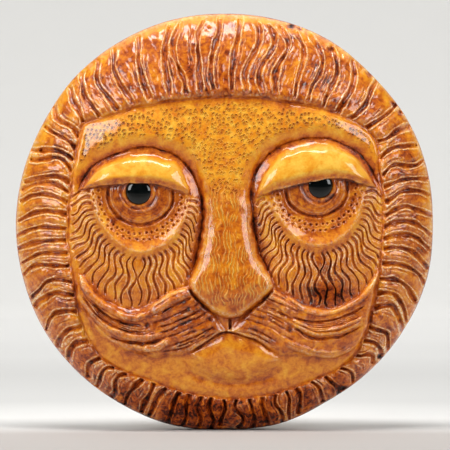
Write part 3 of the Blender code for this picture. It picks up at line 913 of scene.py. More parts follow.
@dataclass(frozen=True)
class FiringLightAndShade:
    """Tones of the fired glaze, from 0 for yellow honey to 1 for deep russet, with painted
    shade and painted light among them, as marked below.

    Attributes:
        face: the face's own tone.
        mane: what the mane adds to it.
        locks: how much the tone strays from lock to lock.
        foot: what the mane's foot adds, painted shade where it faces down.
        left: what the left side takes away, painted light where the stronger left lamp falls.
        rim: how much paler the band along the upper rim is.
        chip: what each chip adds.
        crease: what the crease over a lid adds, a painted shadow along the fold.
        socket: what the bowl under a lid adds, painted shade under the lid.
        lid: a lid's own tone.
        lid_edge_shade: what its lower edge adds, painted shade where the lid turns under.
        moustache: what the moustache adds.
        muzzle: what its hair beside the nose adds.
        side: how much paler the moustache is on the right, and darker on the left.
        cheek: the redder cheek, mirrored to the other side.
        cheek_side: part by which the right cheek is darker and the left one paler.
        brow: the paler brow.
        crown: the darker locks over it.
        scorch: the dark place on the right cheek.
        tip: the darker tip of the nose.
    """
    face: float = 0.35
    mane: float = 0.19
    locks: float = 0.1
    foot: float = 0.21
    left: float = 0.08
    rim: float = 0.26
    chip: float = 0.4
    crease: float = 0.3
    socket: float = 0.31
    lid: float = 0.1
    lid_edge_shade: float = 0.42
    moustache: float = 0.17
    muzzle: float = 0.08
    side: float = 0.04
    cheek: Patch = Patch(46, -22, 30, 26, 0.16)
    cheek_side: float = 0.4375
    brow: Patch = Patch(0, 40, 95, 40, -0.13)
    crown: Patch = Patch(-5, 64, 40, 16, 0.12)
    scorch: Patch = Patch(48, -33, 18, 9, 0.34)
    tip: Patch = Patch(0, -38, 20, 16, 0.1)


@dataclass(frozen=True)
class Carving:
    """The whole front of the plaque, and how the glaze took on it, with painted shade and light.

    Attributes:
        strays: how far the hand strayed from its lines, and over what length.
        skin: the height and the size of the lumps left on every surface.
    """
    disc: Disc = Disc()
    face: FaceEdge = FaceEdge()
    mane: Mane = Mane()
    nose: Nose = Nose()
    mouth: Mouth = Mouth()
    brow: Brow = Brow()
    rim: Rim = Rim()
    outline: Outline = Outline()
    firing_light_and_shade: FiringLightAndShade = FiringLightAndShade()
    eyes: tuple[Eye, Eye] = (LEFT_EYE, RIGHT_EYE)
    wings: tuple[Wing, Wing] = (LEFT_WING, RIGHT_WING)
    strays: Points = ((0.45, 7.0), (0.22, 2.8))
    skin: Points = ((0.16, 5.5), (0.05, 1.6))

    def by_hand(self, u: Array, v: Array) -> tuple[Array, Array]:
        """Shift places by small lumps, so that no line runs true."""
        return u + uneven(u, v, self.strays, 51), v + uneven(u, v, self.strays, 53)

    def height(self, u: Array, v: Array) -> Array:
        """Height of the carved front over the back plane, in shares.

        Layers are added over the plain disc, and the lids replace what lies under them.

        Args:
            u: places across from the disc's centre, in shares.
            v: places up from it.

        Returns:
            The heights.
        """
        plain = self.disc.swell(np.hypot(u, v))
        u, v = self.by_hand(u, v)
        depth = self.face.depth(u, v)
        inside = ease(-0.6, 0.6, depth)
        nose_in = self.nose.distance(u, v)
        height = plain + self.mane.relief(u, v, depth, self.face) + self.rim.relief(u, v)
        height += inside * self.brow.swell(u, v)
        beside_nose = 1 - ease(-0.8, 0.4, nose_in)
        for wing in self.wings:
            height += inside * beside_nose * wing.relief(u, v)
        height += inside * (self.nose.relief(u, v, nose_in) + self.mouth.relief(u, v))
        for eye in self.eyes:
            height += inside * eye.socket(u, v)
            below = ease(0, -1.5, eye.over_edge(u, v))
            height += inside * below * (eye.rings(u, v) + eye.stipple(u, v))
            height += inside * eye.fine_marks(u, v)
        height += uneven(u, v, self.skin, 41)
        for eye in self.eyes:
            cover, lid_height = eye.lid(u, v)
            height += inside * cover * (plain + lid_height - height)
        return height

    def tooling(self, u: Array, v: Array) -> tuple[Array, Array]:
        """Where the brow is pecked and the nose combed, each from 0 to 1."""
        u, v = self.by_hand(u, v)
        depth = self.face.depth(u, v)
        pecked = self.brow.pecked(u, v, depth)
        for eye in self.eyes:
            crease = strokes(u, v, eye.fold(), 6.5, (0.0, 0.08), 0.5)
            within = np.hypot((u - eye.ball[0]) / 27, (v - eye.ball[1]) / 20)
            pecked = pecked * ease(0.55, 0.2, crease) * ease(0.9, 1.15, within)
        return pecked, self.nose.combed(u, v, self.nose.distance(u, v))

    def warmth_light_and_shade(self, u: Array, v: Array) -> Array:
        """How dark and red the glaze fired, with painted shade and light mixed in: 0 is yellow
        honey, 1 is deep russet.

        The face's tone is eased up in the mane, mounds and strokes are added to it, and
        the lids have a tone of their own. The darker foot of the mane, crease, bowl under each
        lid and lower lid edge are painted shade, and the paler left side is painted light.
        """
        fired = self.firing_light_and_shade
        depth = self.face.depth(u, v)
        radius = np.hypot(u, v)
        # Painted light: the far left is paler where the stronger left lamp falls.
        tone = fired.face + fired.mane * ease(1.5, -2.0, depth) - fired.left * ease(-60, -90, u)
        tone += fired.brow.over(u, v) * ease(-1, 1, depth)
        tone += fired.cheek.over(np.abs(u), v) * (1 + fired.cheek_side * np.sign(u))
        for wing in self.wings:
            hair = fired.moustache + fired.muzzle * ease(34, 12, np.abs(u)) - fired.side * np.sign(u)
            tone += hair * ease(-1, 2, wing.distance(u, v))
        # Painted shade on the mane's downward-facing foot; the crown's darker locks are the glaze's own
        # tone.
        tone += (fired.foot * ease(-50, -88, v) + fired.crown.over(u, v)) * ease(1, -2, depth)
        for across, up, size in self.rim.chips:
            tone += Patch(across, up, 1.8 * size, 1.8 * size, fired.chip).over(u, v)
        strays = lumps(bearing(u, v) / 5.5, radius / 16, 1.0, 91)
        tone += fired.locks * strays * ease(0.5, -2, depth) + fired.scorch.over(u, v)
        for eye in self.eyes:
            cover, _ = eye.lid(u, v)
            # Painted shadow: a broad dark line along each crease over a lid.
            tone += fired.crease * strokes(u, v, eye.fold(), 3.6, (0.1, 0.3), 1.2)
            # Painted shade on the lower band of each lid, where it turns under.
            lid_tone = fired.lid + fired.lid_edge_shade * ease(3.6, 1.4, eye.over_edge(u, v))
            tone += cover * (lid_tone - tone)
        tone += fired.tip.over(u, v)
        for eye in self.eyes:
            # Painted shade in the bowl under each lid.
            bowl = Patch(eye.ball[0], eye.ball[1], 28, 26, fired.socket)
            tone += ease(1, -1, eye.over_edge(u, v)) * bowl.over(u, v)
        # Paler towards the rim over its upper part.
        return tone - fired.rim * ease(93.5, 97, radius) * ease(-40, 40, v)


# Meshes

def square_to_disc(x: Array, y: Array) -> tuple[Array, Array]:
    """Draw a square of -1..1 out to a disc of radius 100: x * sqrt(1 - y^2/2)."""
    return 100 * x * np.sqrt(1 - y**2 / 2), 100 * y * np.sqrt(1 - x**2 / 2)


def disc_to_square(u: Array, v: Array) -> tuple[Array, Array]:
    """Undo square_to_disc: half the difference of sqrt(2 + a^2 - b^2 +- 2 sqrt(2) a)."""
    far = np.maximum(np.hypot(u, v), 100)
    a = u / far
    b = v / far
    root = 2 * math.sqrt(2)
    square = a**2 - b**2

    def half(sign: float, along: Array) -> Array:
        """Half the difference of the two roots along one axis."""
        more = np.sqrt(np.clip(2 + sign * square + root * along, 0, None))
        less = np.sqrt(np.clip(2 + sign * square - root * along, 0, None))
        return (more - less) / 2

    return np.clip(half(1, a), -1, 1), np.clip(half(-1, b), -1, 1)


def blurred(image: Array, cells: float) -> Array:
    """Blur a square image by three passes of a running mean, near a bell curve."""
    half = max(1, round(cells))
    width = 2 * half + 1
    for axis in (0, 1) * 3:
        pad = [(half + 1, half) if k == axis else (0, 0) for k in (0, 1)]
        total = np.cumsum(np.pad(image, pad, mode="edge"), axis=axis)
        ends = np.take(total, range(width, total.shape[axis]), axis=axis)
        starts = np.take(total, range(total.shape[axis] - width), axis=axis)
        image = (ends - starts) / width
    return image


def new_mesh(name: str, points: Array, *groups: Array) -> bpy.types.Mesh:
    """Mesh from an array of points and arrays of faces, each with equal corners."""
    mesh = bpy.data.meshes.new(name)
    mesh.from_pydata(points.tolist(), [], [face for faces in groups for face in faces.tolist()])
    mesh.update()
    return mesh


def add_object(name: str, data: bpy.types.ID) -> bpy.types.Object:
    """Put a mesh, a light or a camera in the scene as an object at the origin."""
    item = bpy.data.objects.new(name, data)
    bpy.context.scene.collection.objects.link(item)
    return item


def turned(profile: Points, centre: Place, steps: int) -> tuple[Array, Array]:
    """Turn a profile about an axis along -Y: (r cos a, -h, r sin a) for each step a.

    Args:
        profile: (radius, height) from the pole in front to the pole behind.
        centre: where the axis meets height 0.
        steps: how many faces go round.

    Returns:
        The points and the triangles of a closed surface that faces outward.
    """
    rings = np.array(profile[1:-1], float)
    turn = np.linspace(0, 2 * math.pi, steps, endpoint=False)
    across = rings[:, :1] * np.cos(turn)
    up = rings[:, :1] * np.sin(turn)
    out = np.repeat(rings[:, 1:], steps, axis=1)
    body = np.stack([across, -out, up], 2).reshape(-1, 3)
    poles = np.array([(0, -profile[0][1], 0), (0, -profile[-1][1], 0)])
    points = np.vstack([body, poles]) + np.array(centre)
    here = np.arange(steps)
    there = (here + 1) % steps
    faces = [np.stack([np.full(steps, len(body)), here, there], 1)]
    for ring in range(len(rings) - 1):
        start = ring * steps
        after = start + steps
        faces.append(np.stack([start + here, after + here, after + there], 1))
        faces.append(np.stack([start + here, after + there, start + there], 1))
    last = (len(rings) - 1) * steps
    faces.append(np.stack([np.full(steps, len(body) + 1), last + there, last + here], 1))
    return points, np.vstack(faces)


def box(low: Place, high: Place) -> tuple[Array, Array]:
    """Points and outward quads of a box between two corners."""
    corners = np.array([(x, y, z) for x in (low[0], high[0]) for y in (low[1], high[1])
                        for z in (low[2], high[2])])
    quads = np.array([(0, 1, 3, 2), (4, 6, 7, 5), (0, 4, 5, 1), (2, 3, 7, 6), (0, 2, 6, 4), (1, 5, 7, 3)])
    return corners, quads


class Shaping(Enum):
    """What another shape does to a piece."""
    CUTS = "DIFFERENCE"
    JOINS = "UNION"


def boolean(item: bpy.types.Object, other: bpy.types.Object, shaping: Shaping) -> None:
    """Add an exact Boolean with another object."""
    step = item.modifiers.new(shaping.name.title(), "BOOLEAN")
    step.operation = shaping.value
    step.solver = "EXACT"
    step.object = other


def settle(item: bpy.types.Object) -> None:
    """Apply an object's modifiers to its mesh, and drop the mesh that it had before."""
    graph = bpy.context.evaluated_depsgraph_get()
    made = bpy.data.meshes.new_from_object(item.evaluated_get(graph))
    before = item.data
    item.modifiers.clear()
    item.data = made
    bpy.data.meshes.remove(before)


def dress_in(item: bpy.types.Object, material: bpy.types.Material) -> None:
    """Give a piece one material and smooth shading."""
    item.data.materials.clear()
    item.data.materials.append(material)
    item.data.shade_smooth()


def set_attribute(mesh: bpy.types.Mesh, name: str, values: Array) -> None:
    """Keep one number for each vertex under a name that a material can read."""
    layer = mesh.attributes.new(name, "FLOAT", "POINT")
    layer.data.foreach_set("value", np.asarray(values, np.float32))


def vertex_places(mesh: bpy.types.Mesh) -> Array:
    """The mesh's points as an array, one a row."""
    flat = np.empty(len(mesh.vertices) * 3, np.float32)
    mesh.vertices.foreach_get("co", flat)
    return flat.reshape(-1, 3).astype(float)


# Finishes

def linear(code: str) -> tuple[float, float, float, float]:
    """Turn an sRGB hex colour into the linear one that Blender's sockets take."""
    shares = [int(code[k:k + 2], 16) / 255 for k in (1, 3, 5)]
    curved = [s / 12.92 if s <= 0.04045 else ((s + 0.055) / 1.055)**2.4 for s in shares]
    return (*curved, 1.0)


class Node(Enum):
    """A node: Blender's name for it, the sockets that feed it, its output and its settings."""
    PLACE = ("ShaderNodeTexCoord", (), "Object", {})
    KEPT = ("ShaderNodeAttribute", (), "Fac", {})
    AXES = ("ShaderNodeSeparateXYZ", ("Vector",), "X", {})
    FLAT = ("ShaderNodeCombineXYZ", ("X", "Y"), "Vector", {})
    CLOUD = ("ShaderNodeTexNoise", ("Vector", "Scale", "Detail", "Distortion"), "Fac", {})
    CELLS = ("ShaderNodeTexVoronoi", ("Vector", "Scale", "Randomness"), "Distance",
             {"voronoi_dimensions": "2D"})
    CHANCE = ("ShaderNodeSeparateColor", ("Color",), 0, {})
    RANGE = ("ShaderNodeMapRange", ("Value", "From Min", "From Max", "To Min", "To Max"), "Result", {})
    RAMP = ("ShaderNodeValToRGB", ("Fac",), "Color", {})
    LAY = ("ShaderNodeMix", (0, 6, 7), 2, {"data_type": "RGBA"})
    BUMP = ("ShaderNodeBump", ("Height", "Distance", "Strength", "Normal"), "Normal", {})
    SINE = ("ShaderNodeMath", (0,), 0, {"operation": "SINE"})
    TIMES = ("ShaderNodeMath", (0, 1), 0, {"operation": "MULTIPLY"})
    PLUS = ("ShaderNodeMath", (0, 1), 0, {"operation": "ADD"})
    LESS = ("ShaderNodeMath", (0, 1), 0, {"operation": "SUBTRACT"})
    MOST = ("ShaderNodeMath", (0, 1), 0, {"operation": "MAXIMUM"})


class Finish:
    """A material's nodes, begun from its shader."""

    def __init__(self, name: str) -> None:
        """Make the material and keep its shader and object coordinates."""
        self.material = bpy.data.materials.new(name)
        self.material.use_nodes = True
        self.tree = self.material.node_tree
        self.shader = self.tree.nodes["Principled BSDF"]
        self.place = self.add(Node.PLACE)

    def fill(self, node: bpy.types.Node, values: dict) -> None:
        """Link each of a node's sockets to its source, or set it to its value."""
        for key, value in values.items():
            if isinstance(value, Socket):
                self.tree.links.new(value, node.inputs[key])
            else:
                node.inputs[key].default_value = value

    def add(self, node: Node, *values: object, stops: Sequence[tuple[float, str]] = (),
            **settings: object) -> Socket:
        """Add a node with its settings, its sockets' values and its links.

        Args:
            node: which node, with the sockets that the values go to.
            values: a number, a colour or the output to link, for each socket in turn.
            stops: a ramp's places and hex colours.
            settings: more of the node's own properties.

        Returns:
            The node's output.
        """
        name, sockets, output, fixed = node.value
        made = self.tree.nodes.new(name)
        for key, value in {**fixed, **settings}.items():
            setattr(made, key, value)
        self.fill(made, dict(zip(sockets, values)))
        for count, (place, code) in enumerate(stops):
            marks = made.color_ramp.elements
            mark = marks[count] if count < len(marks) else marks.new(1.0)
            mark.position = place
            mark.color = linear(code)
        return made.outputs[output]

    def shade(self, **values: Socket | float) -> None:
        """Fill the shader's own sockets; a name's low lines stand for spaces."""
        self.fill(self.shader, {name.replace("_", " "): value for name, value in values.items()})


@dataclass(frozen=True)
class HoneyGlaze:
    """Amber lead-style glaze over carved stoneware, dipped and fired once.

    It gives a wet gloss, honey yellow where it lies thin over the buff clay, russet
    where it lies thick, near black-brown in the cuts and cream along scraped edges.
    Its colour also carries painted shade in wide hollows and tool marks, and painted
    highlights in the cream edges, crumbs and lips.
    Where it was wiped off, on the back and in the hollow, the bare clay shows matt.
    """
    thin_to_thick: Sequence[tuple[float, str]] = (
        (0.0, "#F2BC46"), (0.18, "#EA9F27"), (0.36, "#DC8318"), (0.5, "#C86812"),
        (0.64, "#AB4C0C"), (0.78, "#833107"), (0.9, "#551B05"), (1.0, "#2B0D03"),
    )
    # Cream edge and near-white crumbs: thin glaze on edges, partly painted highlights and glints.
    edge: str = "#F2BE6C"
    crumb_and_glint: str = "#FBE9CB"
    clay: str = "#B08A62"
    clay_dark: str = "#8E6A46"
    patch_mm: float = 9.0
    blot_mm: float = 4.2
    fleck_mm: float = 1.5
    peel_mm: float = 1.1
    patch_tones: tuple[float, float] = (-0.17, 0.17)
    blot_tones: tuple[float, float] = (-0.18, 0.36)
    fleck_tones: tuple[float, float] = (-0.06, 0.07)
    # Pool: glaze lying thick in cuts, and painted shade in wide hollows.
    pool_and_shade_tone: float = 0.3
    # Scraped tone: thin glaze on edges, partly painted highlights.
    scraped_and_sheen_tone: float = 0.16
    peck_mm: tuple[float, float] = (2.7, 3.5)
    peck_wave: float = 220.0
    peck_sway: float = 0.0011
    peck_lean: float = -0.3
    # Painted shade in the pits, with glaze lying in them.
    peck_tone_and_shade: float = 0.34
    comb_mm: float = 2.6
    comb_sway_mm: float = 1.8
    # Painted shade between the comb ridges, with glaze lying there; pale lips and ridges partly painted
    # highlights.
    comb_tone_and_shade: float = 0.22
    lip_edge_and_sheen: float = 0.42
    pit_depth: float = 2.0
    coat: float = 0.95
    peel_height: float = 0.00014
    wave_height: float = 0.0007
    mark_height: float = 0.0007

    def scattered(self, finish: Finish) -> tuple[Socket, Socket]:
        """Scatter the brow's pits in leaning columns that swing from side to side.

        Returns:
            The distance to the nearest pit, in cells, and a number from 0 to 1 that each
            pit keeps to itself.
        """
        add = finish.add
        across = add(Node.AXES, finish.place)
        up = across.node.outputs["Z"]
        sway = add(Node.TIMES, add(Node.SINE, add(Node.TIMES, up, self.peck_wave)), self.peck_sway)
        swung = add(Node.PLUS, across, add(Node.PLUS, sway, add(Node.TIMES, up, self.peck_lean)))
        x = add(Node.TIMES, swung, 1000 / self.peck_mm[0])
        y = add(Node.TIMES, up, 1000 / self.peck_mm[1])
        gap = add(Node.CELLS, add(Node.FLAT, x, y), 1.0, 0.8)
        return gap, add(Node.CHANCE, gap.node.outputs["Color"])

    def combing(self, finish: Finish) -> Socket:
        """Wavy upright ridges, broken here and there: a sine wave across, swayed by a cloud."""
        add = finish.add
        sway = self.comb_sway_mm / 1000
        drift = add(Node.CLOUD, finish.place, 1000 / (4 * self.comb_mm), 1.0)
        stray = add(Node.PLUS, add(Node.AXES, finish.place), add(Node.RANGE, drift, 0.3, 0.7, -sway, sway))
        turns = add(Node.TIMES, stray, 2 * math.pi * 1000 / self.comb_mm)
        wave = add(Node.RANGE, add(Node.SINE, turns), 0.0, 1.0)
        breaks = add(Node.CLOUD, finish.place, 1000 / (2.2 * self.comb_mm), 1.0)
        return add(Node.TIMES, wave, add(Node.RANGE, breaks, 0.36, 0.58))

    def tool_marks(self, finish: Finish) -> tuple[Socket, Socket, Socket]:
        """Marks too fine for the mesh: the brow's pits and the nose's combing.

        Returns:
            How deep the pits are, how high the lips and ridges are, and the tone that
            the glaze lying in the marks adds, which is also painted shade in the pits and between
            the ridges; the pale lips are partly painted highlights.
        """
        add = finish.add
        gap, chance = self.scattered(finish)
        struck = add(Node.RANGE, chance, 0.02, 0.35)
        pecked = add(Node.TIMES, add(Node.KEPT, attribute_name="pecked"), struck)
        pits = add(Node.TIMES, pecked, add(Node.RANGE, gap, 0.26, 0.12))
        lip = add(Node.TIMES, add(Node.RANGE, gap, 0.24, 0.34), add(Node.RANGE, gap, 0.46, 0.34))
        combed = add(Node.KEPT, attribute_name="combed")
        ridges = add(Node.TIMES, combed, self.combing(finish))
        lips = add(Node.MOST, add(Node.TIMES, pecked, lip), ridges)
        # Darker between the comb ridges and in the pits: glaze lying there and painted shade.
        between = add(Node.LESS, add(Node.TIMES, combed, 0.5), ridges)
        between = add(Node.TIMES, between, self.comb_tone_and_shade)
        dark = add(Node.PLUS, add(Node.TIMES, pits, self.peck_tone_and_shade), between)
        return pits, lips, dark

    def thickness(self, finish: Finish, tooling: Socket) -> Socket:
        """How thick the glaze lies: fired tone, clouds, blots and pools, less the scraped edges,
        with painted shade in the pools and tones and painted highlights on the edges.
        """
        add = finish.add
        total = tone = add(Node.KEPT, attribute_name="warmth_light_and_shade")
        patches = add(Node.CLOUD, finish.place, 1000 / self.patch_mm, 3.0, 0.6)
        blots = add(Node.CLOUD, finish.place, 1000 / self.blot_mm, 2.5, 1.1)
        flecks = add(Node.CLOUD, finish.place, 1000 / self.fleck_mm, 3.0, 0.3)
        # Pool: glaze lying thick in the cuts, and painted shade in wide hollows.
        pool_and_shade = add(Node.TIMES, add(Node.KEPT, attribute_name="pool_and_shade"), self.pool_and_shade_tone)
        parts = (
            add(Node.RANGE, patches, 0.3, 0.7, *self.patch_tones),
            add(Node.TIMES, add(Node.RANGE, blots, 0.4, 0.74, *self.blot_tones), tone),
            add(Node.RANGE, flecks, 0.3, 0.7, *self.fleck_tones),
            tooling,
            pool_and_shade,
        )
        for part in parts:
            total = add(Node.PLUS, total, part)
        scraped_and_sheen = add(Node.KEPT, attribute_name="scraped_and_sheen")
        return add(Node.LESS, total, add(Node.TIMES, scraped_and_sheen, self.scraped_and_sheen_tone))

    def material(self) -> bpy.types.Material:
        """Build the nodes: ramp by thickness, scraped edges and painted highlights over it, tool marks and
        bare clay.
        """
        finish = Finish("honey_glazed_stoneware")
        add = finish.add
        flecks = add(Node.CLOUD, finish.place, 1000 / self.fleck_mm, 3.0, 0.3)
        bare = add(Node.KEPT, attribute_name="bare")
        pits, lips, dark = self.tool_marks(finish)
        colour = add(Node.RAMP, self.thickness(finish, dark), stops=self.thin_to_thick)
        # Pale scraped edges and near-white crumbs: thin glaze, partly painted highlights and glints.
        pale = add(Node.RANGE, add(Node.KEPT, attribute_name="warmth_light_and_shade"), 0.58, 0.78, 1.0, 0.0)
        scraped_and_sheen = add(Node.TIMES, add(Node.KEPT, attribute_name="scraped_and_sheen"), pale)
        edge = add(Node.TIMES, scraped_and_sheen, add(Node.RANGE, flecks, 0.3, 0.65, 0.15, 0.8))
        edge = add(Node.MOST, edge, add(Node.TIMES, lips, self.lip_edge_and_sheen))
        crumbs_and_glints = add(Node.TIMES, scraped_and_sheen, add(Node.RANGE, flecks, 0.46, 0.6, 0.0, 0.75))
        colour = add(Node.LAY, edge, colour, linear(self.edge))
        colour = add(Node.LAY, crumbs_and_glints, colour, linear(self.crumb_and_glint))
        clay = add(Node.RAMP, flecks, stops=((0.3, self.clay), (0.7, self.clay_dark)))
        colour = add(Node.LAY, bare, colour, clay)
        rough = add(Node.MOST, add(Node.RANGE, flecks, 0.3, 0.7, 0.3, 0.48), add(Node.TIMES, bare, 0.85))
        coat = add(Node.TIMES, add(Node.RANGE, bare, 0.0, 1.0, self.coat, 0.0), pale)
        peel = add(Node.CLOUD, finish.place, 1000 / self.peel_mm, 2.0)
        waves = add(Node.CLOUD, finish.place, 1000 / self.blot_mm, 3.0)
        cut = add(Node.LESS, lips, add(Node.TIMES, pits, self.pit_depth))
        relief = add(Node.BUMP, peel, self.peel_height, 0.6)
        relief = add(Node.BUMP, waves, self.wave_height, 0.55, relief)
        relief = add(Node.BUMP, cut, self.mark_height, 1.0, relief)
        finish.shade(Base_Color=colour, Roughness=rough, Coat_Weight=coat, Normal=relief)
        finish.shade(IOR=1.5, Specular_IOR_Level=0.15, Coat_Roughness=0.11, Coat_IOR=1.5)
        return finish.material


@dataclass(frozen=True)
class PupilGlass:
    """Dark bottle glass, ground to a cabochon: near black, with a green depth, a painted soft reflection and
    a high gloss.
    """
    colour: str = "#060909"
    # Faint cloud in the glass: its green depth, and partly a painted soft reflection.
    haze_and_glint: str = "#121818"
    cloud_mm: float = 5.0

    def material(self) -> bpy.types.Material:
        """Build the nodes: a faint cloud under a polished face, partly a painted soft reflection."""
        finish = Finish("dark_bottle_glass")
        cloud = finish.add(Node.CLOUD, finish.place, 1000 / self.cloud_mm, 2.0, 0.8)
        amount = finish.add(Node.RANGE, cloud, 0.45, 0.8, 0.0, 0.5)
        base = finish.add(Node.RAMP, amount, stops=((0.0, self.colour), (1.0, self.haze_and_glint)))
        finish.shade(Base_Color=base, Roughness=0.07, IOR=1.52)
        return finish.material


@dataclass(frozen=True)
class CovePaper:
    """Matt paper under and round the plaque: pale warm grey, darker to the front as a painted
    shadow before the plaque, and paler behind it and further back as painted light that
    fills the plaque's cast shadow and the dip where the lamps fall off.

    Attributes:
        painted_light_and_shade: its colour at each distance behind the wall plane, in metres, with painted
            shadow and light.
    """
    painted_light_and_shade: tuple[tuple[float, str], ...] = (
        (-0.62, "#77746F"), (-0.2, "#B6B2AE"), (-0.06, "#BDB9B5"), (0.05, "#E2E1DE"), (0.12, "#F2F1EE"),
        (0.34, "#D8D7D4"), (0.8, "#DBDAD7"), (1.2, "#E8E7E4"), (1.7, "#E8E7E4"), (2.5, "#DDDCD9"),
    )

    def material(self) -> bpy.types.Material:
        """Build the nodes: one matt colour eased into the next along the paper, painting its shadow and
        light.
        """
        finish = Finish("matt_backdrop_paper")
        along = finish.add(Node.AXES, finish.place).node.outputs["Y"]
        low, high = self.painted_light_and_shade[0][0], self.painted_light_and_shade[-1][0]
        stops = [((at - low) / (high - low), code) for at, code in self.painted_light_and_shade]
        base = finish.add(Node.RAMP, finish.add(Node.RANGE, along, low, high), stops=stops)
        finish.shade(Base_Color=base, Roughness=0.95, Specular_IOR_Level=0.1)
        return finish.material


# Pieces

@dataclass(frozen=True)
class Pooling:
    """How the glaze ran off the carving's edges and into its cuts, with painted shade and
    highlights laid in with it.

    A place is a cut where it lies below a blurred copy of the relief, and an edge where
    it stands above it. Dark in narrow cuts is glaze lying thick; dark in wide hollows is
    painted shade. The pale edges are thin glaze and also painted highlights.

    Attributes:
        fine: reach of the blur that tells narrow cuts and edges, in shares.
        broad: reach of the blur that tells wide hollows.
        fine_rate: how fast the pool darkens with depth in a narrow cut.
        broad_rate: the same in a wide hollow, where the darkening is painted shade.
        mane: part of the pool that the mane lacks.
        edge_rise: how high an edge stands where the glaze is all scraped off and the painted highlight is
            fullest.
        edge_start: part of that rise at which scraping begins.
        lid: part of the scraping that the lids lack.
        moustache: the same for the moustache.
        shell: how far under the front the hollow begins.
        rim: radius past which nothing is hollow.
    """
    fine: float = 0.9
    broad: float = 3.0
    fine_rate: float = 1.1
    broad_rate: float = 0.7
    mane: float = 0.4
    edge_rise: float = 0.55
    edge_start: float = 0.3
    lid: float = 0.85
    moustache: float = 0.4
    shell: float = 1.5
    rim: float = 99.0


